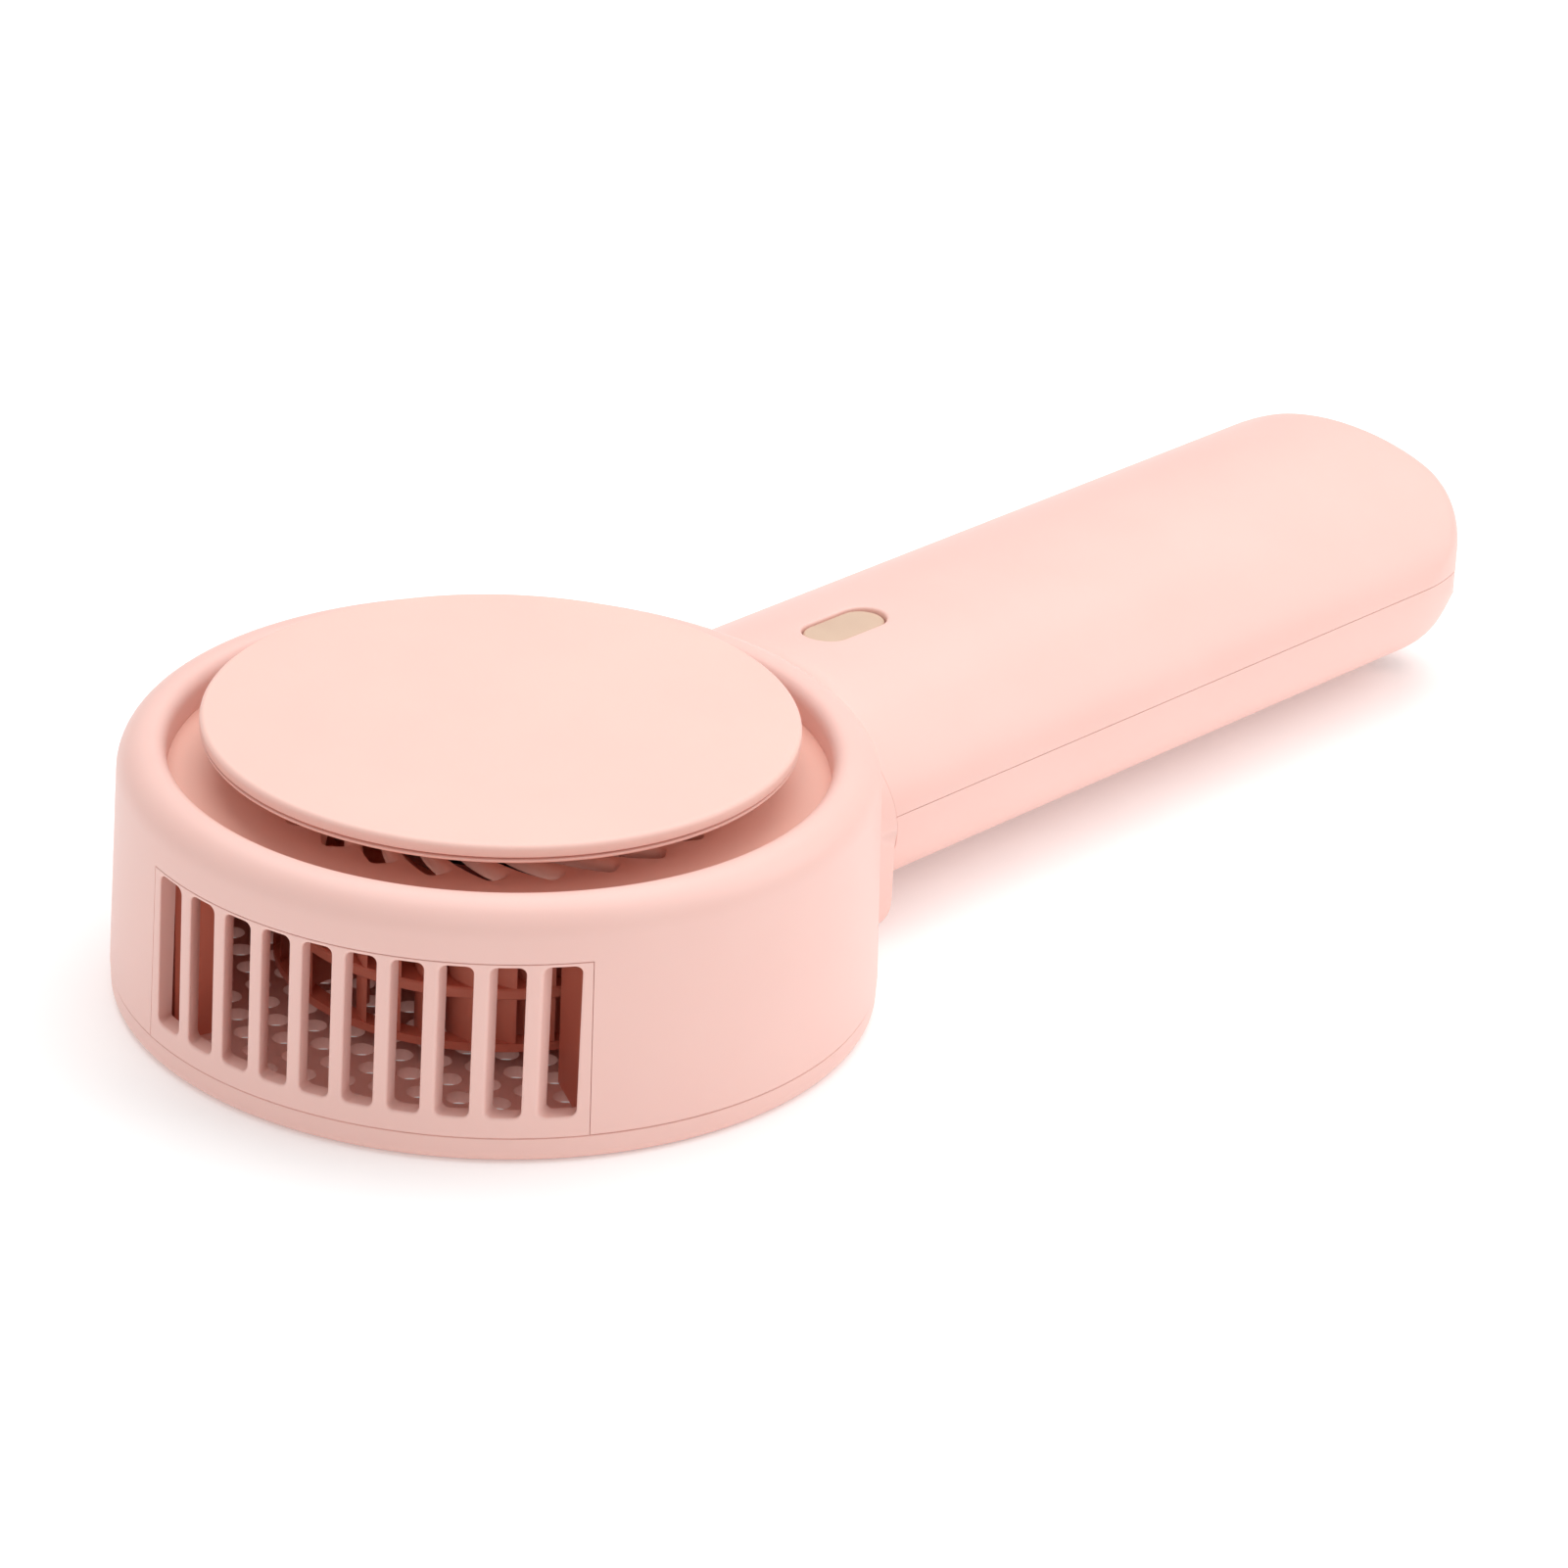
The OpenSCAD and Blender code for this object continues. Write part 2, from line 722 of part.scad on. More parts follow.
module usb_board() {
    color([0.1, 0.35, 0.2]) translate([socket_x - 9.4, -7, usb_z]) cube([7.4, 14, usb_t]);
}

module usb_socket() {
    color(steel) translate([socket_x - socket_l, 0, usb_z + usb_t]) difference() {
        rounded_slot(socket_l, socket_w, socket_h, socket_h / 2 - 0.1);
        translate([1, 0, socket_wall]) rounded_slot(socket_l, socket_w - 2 * socket_wall,
            socket_h - 2 * socket_wall, socket_h / 2 - 0.1 - socket_wall);
    }
    color(dark) translate([socket_x - socket_l + 0.5, -3.3, usb_z + usb_t + socket_h / 2 - 0.35])
        cube([socket_l - 1.3, 6.6, 0.7]);
}

head_shell();
outlet_grille();
intake_dish();
cover_disc();
disc_carrier();
back_cover();
volute();
neck_block();
back_cover_screws();
neck_screws();
motor_base();
stator_core();
stator_coils();
motor_bearings();
motor_screws();
motor_leads();
impeller();
rotor_bell();
rotor_magnets();
motor_shaft();
shaft_clip();
handle_upper_shell();
handle_lower_shell();
handle_screws();
battery_cell();
battery_pads();
battery_leads();
control_board();
board_parts();
power_switch();
switch_plunger();
button();
usb_board();
usb_socket();
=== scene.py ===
"""Looks of a handheld blower fan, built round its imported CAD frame.

Lengths are in millimetres until a mesh is written, which is in metres. The frame is the
part's own: Z is the drum's axis with Z = 0 at the flat back, and X runs along the handle.
"""
import logging
import math
from dataclasses import dataclass, field
from enum import Enum
from typing import Callable, ClassVar, Iterable, Sequence

import bmesh
import bpy
from mathutils import Matrix, Vector
from mathutils.geometry import delaunay_2d_cdt


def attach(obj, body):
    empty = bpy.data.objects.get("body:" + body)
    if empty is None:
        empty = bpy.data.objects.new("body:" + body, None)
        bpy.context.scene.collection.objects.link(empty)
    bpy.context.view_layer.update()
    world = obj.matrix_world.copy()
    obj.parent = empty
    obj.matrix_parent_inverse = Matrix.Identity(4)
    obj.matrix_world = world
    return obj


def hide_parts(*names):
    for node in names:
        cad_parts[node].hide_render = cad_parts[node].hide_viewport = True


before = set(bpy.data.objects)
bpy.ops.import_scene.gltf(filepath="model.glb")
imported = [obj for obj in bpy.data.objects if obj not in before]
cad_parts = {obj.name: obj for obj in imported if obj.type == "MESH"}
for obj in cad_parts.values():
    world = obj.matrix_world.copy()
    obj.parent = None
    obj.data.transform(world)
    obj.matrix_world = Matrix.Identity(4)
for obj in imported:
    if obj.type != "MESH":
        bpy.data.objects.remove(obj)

log = logging.getLogger("fan")
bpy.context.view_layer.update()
MM = 0.001
Flat = tuple[float, float]
Solid = tuple[float, float, float]
Shape = tuple[list[Solid], list[list[int]]]
Layer = tuple[list[list[Flat]], list[list[int]]]


class Body(Enum):
    """The rigid bodies of the fan."""

    HOUSING = "housing"
    ROTOR = "rotor"
    KEY = "key"


# ---------------------------------------------------------------- finishes


def set_inputs(node: bpy.types.Node, values: dict[str, object]) -> None:
    """Sets a shader node's own inputs by name."""
    for name, value in values.items():
        node.inputs[name].default_value = value


@dataclass(frozen=True)
class Finish:
    """A plain procedural finish: a mottled colour, a grain and a gloss.

    Attributes:
        label: the material's name.
        slot: the record's material slot that it is meant for; not used.
        light: linear colour of the lighter patches.
        deep: linear colour of the deeper patches.
        rough: roughness of the surface.
        metal: how metallic it is.
        mottle: size of the colour patches in millimetres.
        grain: size of the surface grain in millimetres.
        relief: depth of the grain in millimetres.
        soft: weight of the light scattered under the surface.
        coat: weight of a clear coat.
        stretch: how much the grain is drawn out along X, Y and Z.
    """

    label: str
    slot: str
    light: Solid
    deep: Solid
    rough: float = 0.45
    metal: float = 0.0
    mottle: float = 14.0
    grain: float = 0.35
    relief: float = 0.004
    soft: float = 0.0
    coat: float = 0.0
    stretch: Solid = (1.0, 1.0, 1.0)

    def material(self) -> bpy.types.Material:
        """The Blender material of this finish, made once.

        Returns:
            The material.
        """
        made = bpy.data.materials.get(self.label)
        if made:
            return made
        made = bpy.data.materials.new(self.label)
        made.use_nodes = True
        tree = made.node_tree
        shader = tree.nodes["Principled BSDF"]
        place = tree.nodes.new("ShaderNodeTexCoord")
        turn = tree.nodes.new("ShaderNodeMapping")
        turn.inputs["Scale"].default_value = self.stretch
        tree.links.new(place.outputs["Object"], turn.inputs["Vector"])
        patches = self._noise(tree, turn, self.mottle, 3.0)
        ramp = tree.nodes.new("ShaderNodeValToRGB")
        for stop, spot, colour in zip(ramp.color_ramp.elements, (0.3, 0.7),
                                      (self.deep, self.light)):
            stop.position = spot
            stop.color = (*colour, 1.0)
        tree.links.new(patches.outputs["Fac"], ramp.inputs["Fac"])
        tree.links.new(ramp.outputs["Color"], shader.inputs["Base Color"])
        grain = self._noise(tree, turn, self.grain, 2.0)
        bump = tree.nodes.new("ShaderNodeBump")
        set_inputs(bump, {"Strength": 1.0, "Distance": self.relief * MM})
        tree.links.new(grain.outputs["Fac"], bump.inputs["Height"])
        tree.links.new(bump.outputs["Normal"], shader.inputs["Normal"])
        gloss = tree.nodes.new("ShaderNodeMapRange")
        set_inputs(gloss, {"To Min": max(0.02, self.rough - 0.05), "To Max": self.rough + 0.05})
        tree.links.new(patches.outputs["Fac"], gloss.inputs["Value"])
        tree.links.new(gloss.outputs["Result"], shader.inputs["Roughness"])
        set_inputs(shader, {"Metallic": self.metal, "Coat Weight": self.coat,
                            "Subsurface Weight": self.soft,
                            "Subsurface Radius": (1.0, 0.45, 0.3),
                            "Subsurface Scale": 0.9 * MM})
        return made

    def _noise(self, tree: bpy.types.NodeTree, place: bpy.types.Node, size: float,
               detail: float) -> bpy.types.Node:
        """A noise texture with features of one size.

        Args:
            tree: the material's tree.
            place: node that gives the coordinates.
            size: feature size in millimetres.
            detail: octaves of finer noise.

        Returns:
            The noise node.
        """
        noise = tree.nodes.new("ShaderNodeTexNoise")
        set_inputs(noise, {"Scale": 1.0 / (size * MM), "Detail": detail})
        tree.links.new(place.outputs["Vector"], noise.inputs["Vector"])
        return noise


PINK = Finish("pink_plastic", "body_pink", (0.945, 0.605, 0.540), (0.935, 0.590, 0.525),
              rough=0.4, soft=0.05)
PALE = Finish("disc_plastic", "disc_pink", (0.965, 0.615, 0.535), (0.955, 0.600, 0.525),
              rough=0.5, soft=0.05)
# Painted shade: a redder, more saturated copy of the body's pink plastic, for the dish that lies
# under the disc.
DISH_PAINTED_SHADE = Finish("dish_pink_painted_shade", "body_pink", (0.97, 0.58, 0.48), (0.96, 0.56, 0.46),
              rough=0.42, soft=0.05)
# Painted shade: a darker, redder copy of the body's pink plastic, for the parts deep inside the
# drum.
PINK_PAINTED_SHADE = Finish("pink_plastic_painted_shade", "body_pink", (0.82, 0.27, 0.185), (0.78, 0.245, 0.165),
              rough=0.45, soft=0.05)
BEIGE = Finish("button_plastic", "button_beige", (0.69, 0.495, 0.365), (0.66, 0.46, 0.34),
               rough=0.5, mottle=5.0)
STEEL = Finish("turned_steel", "motor_steel", (0.60, 0.60, 0.62), (0.48, 0.48, 0.50),
               rough=0.3, metal=1.0, mottle=2.0, relief=0.002)
ZINC = Finish("zinc_plate", "screw_steel", (0.66, 0.66, 0.67), (0.55, 0.55, 0.57),
              rough=0.28, metal=1.0, mottle=1.5, relief=0.002)
ALLOY = Finish("cast_alloy", "motor_alloy", (0.52, 0.52, 0.53), (0.42, 0.42, 0.43),
               rough=0.45, metal=1.0, mottle=3.0, relief=0.01)
COPPER = Finish("wound_copper", "coil_copper", (0.75, 0.28, 0.10), (0.45, 0.14, 0.05),
                rough=0.3, metal=0.8, mottle=0.5, grain=0.3, relief=0.06, coat=0.5,
                stretch=(0.2, 0.2, 1.6))
MAGNET = Finish("ferrite", "magnet_black", (0.045, 0.045, 0.05), (0.025, 0.025, 0.03),
                rough=0.6, mottle=2.0, relief=0.01)
WRAP = Finish("cell_sleeve", "cell_wrap", (0.05, 0.16, 0.36), (0.035, 0.12, 0.28),
              rough=0.25, mottle=9.0, coat=0.4, relief=0.01)
BOARD = Finish("solder_mask", "board_green", (0.02, 0.14, 0.055), (0.012, 0.10, 0.04),
               rough=0.35, mottle=2.5, coat=0.3)
BLACK = Finish("black_plastic", "black_plastic", (0.022, 0.022, 0.024), (0.014, 0.014, 0.016),
               rough=0.5, mottle=3.0)
FOAM = Finish("pad_foam", "pad_rubber", (0.03, 0.03, 0.032), (0.015, 0.015, 0.016),
              rough=0.9, mottle=0.8, grain=0.4, relief=0.08)
LEAD = Finish("lead_sleeve", "lead_rubber", (0.36, 0.02, 0.02), (0.28, 0.012, 0.012),
              rough=0.4, mottle=4.0)


# ---------------------------------------------------------------- outlines


def arc(cx: float, cy: float, r: float, start: float, end: float, steps: int) -> list[Flat]:
    """Points of an arc.

    Args:
        cx: centre's first coordinate.
        cy: centre's second coordinate.
        r: radius.
        start: first angle in degrees.
        end: last angle in degrees.
        steps: number of segments.

    Returns:
        steps + 1 points.
    """
    turn = [math.radians(start + (end - start) * i / steps) for i in range(steps + 1)]
    return [(cx + r * math.cos(a), cy + r * math.sin(a)) for a in turn]


def rounded_outline(half_w: float, half_h: float, r: float, corner: int,
                    across: int = 1, along: int = 1) -> list[Flat]:
    """A rectangle with round corners about the origin, anticlockwise.

    Args:
        half_w: half its width.
        half_h: half its height.
        r: corner radius.
        corner: segments in a corner.
        across: segments in a straight part of its width.
        along: segments in a straight part of its height.

    Returns:
        The outline's points.
    """
    points: list[Flat] = []
    for k, (sx, sy) in enumerate(((1, 1), (-1, 1), (-1, -1), (1, -1))):
        here = arc(sx * (half_w - r), sy * (half_h - r), r, 90 * k, 90 * k + 90, corner)
        if points:
            points += between(points[-1], here[0], across if k % 2 else along)
        points += here
    return points + between(points[-1], points[0], along)


def between(a: Flat, b: Flat, parts: int) -> list[Flat]:
    """The points that split a straight line into equal parts, without its ends."""
    return [(a[0] + (b[0] - a[0]) * i / parts, a[1] + (b[1] - a[1]) * i / parts)
            for i in range(1, parts)]


def spread(low: float, high: float, parts: int) -> list[float]:
    """parts + 1 equally spaced numbers from low to high."""
    return [low + (high - low) * i / parts for i in range(parts + 1)]


def rounded_corner(a: Flat, c: Flat, b: Flat, steps: int) -> list[Flat]:
    """Points of a round corner from a to b that is tangent to both sides at c.

    Args:
        a: where it leaves the first side.
        c: the sharp corner.
        b: where it meets the second side.
        steps: number of segments.

    Returns:
        steps + 1 points.
    """
    va, vb = Vector(a) - Vector(c), Vector(b) - Vector(c)
    lengths = max(va.length * vb.length, 1e-9)
    weight = math.sqrt(max(0.0, (1 - va.dot(vb) / lengths) / 2))
    points = []
    for t in spread(0, 1, steps):
        wa, wc, wb = (1 - t) ** 2, 2 * t * (1 - t) * weight, t * t
        points.append(tuple((wa * a[k] + wc * c[k] + wb * b[k]) / (wa + wc + wb)
                            for k in range(2)))
    return points


def round_edge(bend: float, steps: int) -> list[Flat]:
    """A rounded edge as (distance outwards, depth), from the face down to the side."""
    return [(bend * (1 - math.sin(t)), bend * (1 - math.cos(t)))
            for t in spread(0, math.pi / 2, steps)]


# ---------------------------------------------------------------- meshes


class Hole:
    """A closed outline that can tell what is inside it."""

    def __init__(self, outline: Sequence[Flat]) -> None:
        """Keeps the outline and its limits."""
        self.outline = list(outline)
        self.low = [min(p[k] for p in outline) for k in range(2)]
        self.high = [max(p[k] for p in outline) for k in range(2)]

    def holds(self, x: float, y: float) -> bool:
        """True if a point is inside the outline."""
        if not (self.low[0] < x < self.high[0] and self.low[1] < y < self.high[1]):
            return False
        odd = False
        for (ax, ay), (bx, by) in zip(self.outline, self.outline[1:] + self.outline[:1]):
            if (ay > y) != (by > y) and x < ax + (y - ay) * (bx - ax) / (by - ay):
                odd = not odd
        return odd


class Skin:
    """A closed wall: rings of points joined by strips, and caps with holes."""

    def __init__(self) -> None:
        """Starts with no points and no faces."""
        self.points: list[Solid] = []
        self.faces: list[list[int]] = []

    def ring(self, points: Iterable[Solid]) -> list[int]:
        """Adds points and returns their indices."""
        first = len(self.points)
        self.points += points
        return list(range(first, len(self.points)))

    def strip(self, a: Sequence[int], b: Sequence[int], closed: bool = True) -> None:
        """Joins two rings of equal length with quads."""
        for i in range(len(a) if closed else len(a) - 1):
            j = (i + 1) % len(a)
            self.faces.append([a[i], a[j], b[j], b[i]])

    def stack(self, rings: Sequence[Sequence[int]]) -> None:
        """Joins each ring to the next one."""
        for a, b in zip(rings, rings[1:]):
            self.strip(a, b)

    def walls(self, stacks: Sequence[Sequence[tuple[list[Flat], float]]],
              place: Callable[[float, float, float], Solid]) -> tuple[Layer, Layer]:
        """Joins each stack of outlines into a wall.

        Args:
            stacks: each wall's outlines with their depths, from the upper face down.
            place: takes a point of the plane, at a depth, to its place in space.

        Returns:
            The walls' first outlines with their rings, and their last ones.
        """
        ends: tuple[Layer, Layer] = ([], []), ([], [])
        for stack in stacks:
            rings = [self.ring([place(x, y, d) for x, y in flat]) for flat, d in stack]
            self.stack(rings)
            for (flats, edges), n in zip(ends, (0, -1)):
                flats.append(stack[n][0])
                edges.append(rings[n])
        return ends

    def cap(self, flats: Sequence[Sequence[Flat]], rings: Sequence[Sequence[int]],
            inside: Sequence[Flat], place: Callable[[float, float], Solid]) -> None:
        """Fills the first ring, less the others, with triangles.

        Args:
            flats: each ring's points, anticlockwise, in the plane the cap is laid out in.
            rings: the same points' indices.
            inside: more points of that plane, which let the cap follow its curve.
            place: takes a point of the plane to its place in space.
        """
        plane = [Vector(p) for flat in flats for p in flat]
        known = [i for ring in rings for i in ring]
        edges: list[tuple[int, int]] = []
        filled: set[tuple[int, int]] = set()
        bare: set[tuple[int, int]] = set()
        start = 0
        for flat in flats:
            count = len(flat)
            ahead = [(start + i, start + (i + 1) % count) for i in range(count)]
            back = [(b, a) for a, b in ahead]
            filled.update(back if start else ahead)
            bare.update(ahead if start else back)
            edges += ahead
            start += count
        plane += [Vector(p) for p in inside]
        known += self.ring([place(*p) for p in inside])
        out, _, tris, origin, _, _ = delaunay_2d_cdt(plane, edges, [], 1, 1e-6)
        named = [known[o[0]] if o else self.ring([place(*p)])[0] for p, o in zip(out, origin)]
        holes = [Hole(flat) for flat in flats[1:]]
        for tri in tris:
            ids = [origin[i][0] if origin[i] else -1 for i in tri]
            sides = set(zip(ids, ids[1:] + ids[:1]))
            x, y = sum((out[i] for i in tri), Vector((0, 0))) / len(tri)
            if sides & filled or not (sides & bare or any(h.holds(x, y) for h in holes)):
                self.faces.append([named[i] for i in tri])

    def shape(self) -> Shape:
        """The points and faces."""
        return self.points, self.faces


def lathe(profile: Sequence[Flat], steps: int) -> Shape:
    """A solid of revolution about Z.

    Args:
        profile: closed outline of (radius, z) points.
        steps: number of segments round the axis.

    Returns:
        The shape.
    """
    skin = Skin()
    rings = []
    for k in range(steps):
        a = math.tau * k / steps
        rings.append(skin.ring([(r * math.cos(a), r * math.sin(a), z) for r, z in profile]))
    skin.stack(rings + rings[:1])
    return skin.shape()


def rod(radius: float, low: float, high: float) -> Shape:
    """A round rod on the axis between two heights."""
    return lathe([(0, low), (radius, low), (radius, high), (0, high)], 40)


def prism(outline: Sequence[Flat], low: float, high: float) -> Shape:
    """An upright prism with two flat ends.

    Args:
        outline: its outline in X and Y.
        low: z of its lower end.
        high: z of its upper end.

    Returns:
        The shape.
    """
    count = len(outline)
    points = [(x, y, z) for z in (low, high) for x, y in outline]
    faces = [[i, (i + 1) % count, (i + 1) % count + count, i + count] for i in range(count)]
    return points, faces + [list(range(count)), list(range(count, 2 * count))]


def joined(*shapes: Shape) -> Shape:
    """Several shapes as one list of points and faces."""
    points: list[Solid] = []
    faces: list[list[int]] = []
    for more, sides in shapes:
        faces += [[i + len(points) for i in side] for side in sides]
        points += more
    return points, faces


def mesh_object(name: str, shape: Shape, tidy: bool = True) -> bpy.types.Object:
    """Writes a shape as an object at the origin.

    Args:
        name: the object's name.
        shape: its points in millimetres and its faces.
        tidy: merge points that coincide, and turn the faces outwards.

    Returns:
        The object.
    """
    mesh = bpy.data.meshes.new(name)
    mesh.from_pydata([tuple(c * MM for c in p) for p in shape[0]], [], shape[1])
    if tidy:
        work = bmesh.new()
        work.from_mesh(mesh)
        bmesh.ops.remove_doubles(work, verts=work.verts, dist=2e-6)
        bmesh.ops.dissolve_degenerate(work, edges=work.edges, dist=1e-7)
        bare = [e for e in work.edges if not e.link_faces]
        bmesh.ops.delete(work, geom=bare, context="EDGES")
        loose = [v for v in work.verts if not v.link_faces]
        bmesh.ops.delete(work, geom=loose, context="VERTS")
        bmesh.ops.recalc_face_normals(work, faces=work.faces)
        work.to_mesh(mesh)
        work.free()
    made = bpy.data.objects.new(name, mesh)
    bpy.context.scene.collection.objects.link(made)
    return made


def dress(piece: bpy.types.Object, finish: Finish, body: Body, nodes: Sequence[str] = (),
          crease: float = 32.0) -> bpy.types.Object:
    """Smooths a piece, gives it its finish and hangs it on its body.

    Args:
        piece: the finished object.
        finish: its finish.
        body: the body that it rides on.
        nodes: the CAD nodes that it stands for.
        crease: edges sharper than this many degrees stay sharp.

    Returns:
        The piece.
    """
    mesh = piece.data
    mesh.materials.clear()
    mesh.materials.append(finish.material())
    mesh.polygons.foreach_set("material_index", [0] * len(mesh.polygons))
    mesh.shade_smooth()
    mesh.set_sharp_from_angle(angle=math.radians(crease))
    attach(piece, body.value)
    if nodes:
        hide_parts(*nodes)
    log.info("%s: %d faces, rides on %s", piece.name, len(mesh.polygons), body.value)
    return piece


# ---------------------------------------------------------------- node trees


class Tree:
    """A Geometry Nodes tree with named inputs."""

    KINDS = {float: "NodeSocketFloat", int: "NodeSocketInt", "object": "NodeSocketObject",
             "material": "NodeSocketMaterial"}

    def __init__(self, name: str, inputs: dict[str, object]) -> None:
        """Makes the tree and its sockets.

        Args:
            name: the tree's name.
            inputs: each input's name and its kind, a key of KINDS.
        """
        self.group = bpy.data.node_groups.new(name, "GeometryNodeTree")
        face = self.group.interface
        face.new_socket("Geometry", in_out="INPUT", socket_type="NodeSocketGeometry")
        self.sockets = {
            label: face.new_socket(label, in_out="INPUT", socket_type=self.KINDS[kind])
            for label, kind in {**inputs, "Finish": "material"}.items()}
        face.new_socket("Geometry", in_out="OUTPUT", socket_type="NodeSocketGeometry")
        self.given = self.group.nodes.new("NodeGroupInput").outputs

    def node(self, kind: str, *wires: object, **settings: object) -> bpy.types.Node:
        """Adds a node.

        Args:
            kind: its type, without the leading "GeometryNode" unless it is a shader's.
            *wires: a value or an output for each input in turn, None to leave one alone.
            **settings: properties of the node.

        Returns:
            The node.
        """
        made = self.group.nodes.new(kind if kind.startswith("Shader") else "GeometryNode" + kind)
        for key, value in settings.items():
            setattr(made, key, value)
        slots = [s for s in made.inputs if s.enabled]
        for slot, wire in zip(slots, wires):
            if isinstance(wire, bpy.types.NodeSocket):
                self.group.links.new(wire, slot)
            elif wire is not None:
                slot.default_value = wire
        return made

    def sum(self, kind: str, *wires: object) -> bpy.types.NodeSocket:
        """The result of a math node."""
        return self.node("ShaderNodeMath", *wires, operation=kind).outputs[0]

    def vector(self, x: object, y: object, z: object) -> bpy.types.NodeSocket:
        """A vector from three values."""
        return self.node("ShaderNodeCombineXYZ", x, y, z).outputs[0]

    def close(self, geometry: bpy.types.NodeSocket) -> None:
        """Ends the tree in Realize Instances and Set Material."""
        real = self.node("RealizeInstances", geometry).outputs[0]
        painted = self.node("SetMaterial", real, None, self.given["Finish"]).outputs[0]
        self.group.links.new(painted, self.group.nodes.new("NodeGroupOutput").inputs[0])

    def apply(self, piece: bpy.types.Object, finish: Finish, **values: object) -> None:
        """Runs the tree on an object and keeps the result as a plain mesh.

        Args:
            piece: the object.
            finish: the finish that Set Material gives.
            **values: each input's value, with _ for a space in its name.
        """
        modifier = piece.modifiers.new(self.group.name, "NODES")
        modifier.node_group = self.group
        wanted = {k.replace("_", " "): v for k, v in values.items()}
        for label, value in {**wanted, "Finish": finish.material()}.items():
            modifier[self.sockets[label].identifier] = value
        bake(piece, modifier)


def bake(piece: bpy.types.Object, modifier: bpy.types.Modifier) -> None:
    """Replaces an object's mesh by what its modifier makes, and removes the modifier."""
    graph = bpy.context.evaluated_depsgraph_get()
    graph.update()
    made = bpy.data.meshes.new_from_object(piece.evaluated_get(graph))
    piece.modifiers.remove(modifier)
    piece.data = made


def cut_by(tree: Tree, body: object, tool: object) -> bpy.types.NodeSocket:
    """A mesh less another, inside a tree."""
    made = tree.node("MeshBoolean", operation="DIFFERENCE", solver="MANIFOLD")
    tree.group.links.new(body, made.inputs["Mesh 1"])
    tree.group.links.new(tool, made.inputs["Mesh 2"])
    return made.outputs[0]


def cylinder(tree: Tree, radius: object, low: object, high: object,
             sides: int = 32) -> bpy.types.NodeSocket:
    """A cylinder between two heights, inside a tree."""
    depth = tree.sum("SUBTRACT", high, low)
    drum = tree.node("MeshCylinder", sides, 1, 1, radius, depth)
    middle = tree.sum("MULTIPLY", tree.sum("ADD", low, high), 0.5)
    return tree.node("Transform", drum.outputs[0], tree.vector(0.0, 0.0, middle)).outputs[0]


def perforation_tree() -> Tree:
    """Drills a plate with staggered holes between two radii, clear of given points."""
    tree = Tree("perforation", {"Pitch": float, "Hole Radius": float, "Inner Radius": float,
                                "Outer Radius": float, "Keep Clear": float,
                                "Clear Points": "object"})
    given = tree.given
    count = 23
    row = tree.sum("MULTIPLY", given["Pitch"], math.sqrt(3) / 2)
    grid = tree.node("MeshGrid", tree.sum("MULTIPLY", given["Pitch"], count - 1.0),
                     tree.sum("MULTIPLY", row, count - 1.0), count, count)
    where = tree.node("ShaderNodeSeparateXYZ", tree.node("InputPosition").outputs[0])
    number = tree.sum("ROUND", tree.sum("DIVIDE", where.outputs[1], row))
    odd = tree.sum("MODULO", tree.sum("ABSOLUTE", number), 2.0)
    shift = tree.sum("MULTIPLY", tree.sum("MULTIPLY", odd, 0.5), given["Pitch"])
    moved = tree.node("SetPosition", grid.outputs[0], None, None,
                      tree.vector(shift, 0.0, 0.0)).outputs[0]
    reach = tree.node("ShaderNodeVectorMath", tree.node("InputPosition").outputs[0],
                      operation="LENGTH").outputs["Value"]
    posts = tree.node("ObjectInfo", given["Clear Points"])
    near = tree.node("Proximity", posts.outputs["Geometry"], target_element="POINTS")
    bad = tree.sum("ADD", tree.sum("LESS_THAN", reach, given["Inner Radius"]),
                   tree.sum("GREATER_THAN", reach, given["Outer Radius"]))
    bad = tree.sum("ADD", bad, tree.sum("LESS_THAN", near.outputs["Distance"],
                                        given["Keep Clear"]))
    kept = tree.node("DeleteGeometry", moved, bad, domain="POINT").outputs[0]
    drill = tree.node("MeshCylinder", 24, 1, 1, given["Hole Radius"], 8 * MM).outputs[0]
    off_seam = (0.0, 0.0, 0.04)
    drill = tree.node("Transform", drill, None, off_seam).outputs[0]
    drills = tree.node("InstanceOnPoints", kept, None, drill).outputs[0]
    drills = tree.node("RealizeInstances", drills).outputs[0]
    tree.close(cut_by(tree, given["Geometry"], drills))
    return tree


def wheel_tree() -> Tree:
    """Sets copies of a blade round the axis and melts them into the object's own mesh."""
    tree = Tree("wheel", {"Count": int, "Blade": "object"})
    given = tree.given
    places = tree.node("Points", given["Count"]).outputs[0]
    step = tree.sum("DIVIDE", math.tau, given["Count"])
    angle = tree.sum("MULTIPLY", tree.node("InputIndex").outputs[0], step)
    blade = tree.node("ObjectInfo", given["Blade"]).outputs["Geometry"]
    copies = tree.node("InstanceOnPoints", places, None, blade)
    tree.group.links.new(tree.vector(0.0, 0.0, angle), copies.inputs["Rotation"])
    real = tree.node("RealizeInstances", copies.outputs[0]).outputs[0]
    union = tree.node("MeshBoolean", operation="UNION", solver="MANIFOLD")
    tree.group.links.new(given["Geometry"], union.inputs["Mesh 2"])
    tree.group.links.new(real, union.inputs["Mesh 2"])
    tree.close(union.outputs[0])
    return tree


def post_tree() -> Tree:
    """Stands a bored post on every point: a pilot bore, and a wider one from below."""
    tree = Tree("posts", {"Radius": float, "Height": float, "Bore": float,
                          "Head Bore": float, "Head Depth": float})
    given = tree.given
    post = cylinder(tree, given["Radius"], 0.0, given["Height"])
    bore = cylinder(tree, given["Bore"], -1 * MM, 40 * MM)
    head = cylinder(tree, given["Head Bore"], -1 * MM, given["Head Depth"])
    bored = cut_by(tree, cut_by(tree, post, bore), head)
    tree.close(tree.node("InstanceOnPoints", given["Geometry"], None, bored).outputs[0])
    return tree


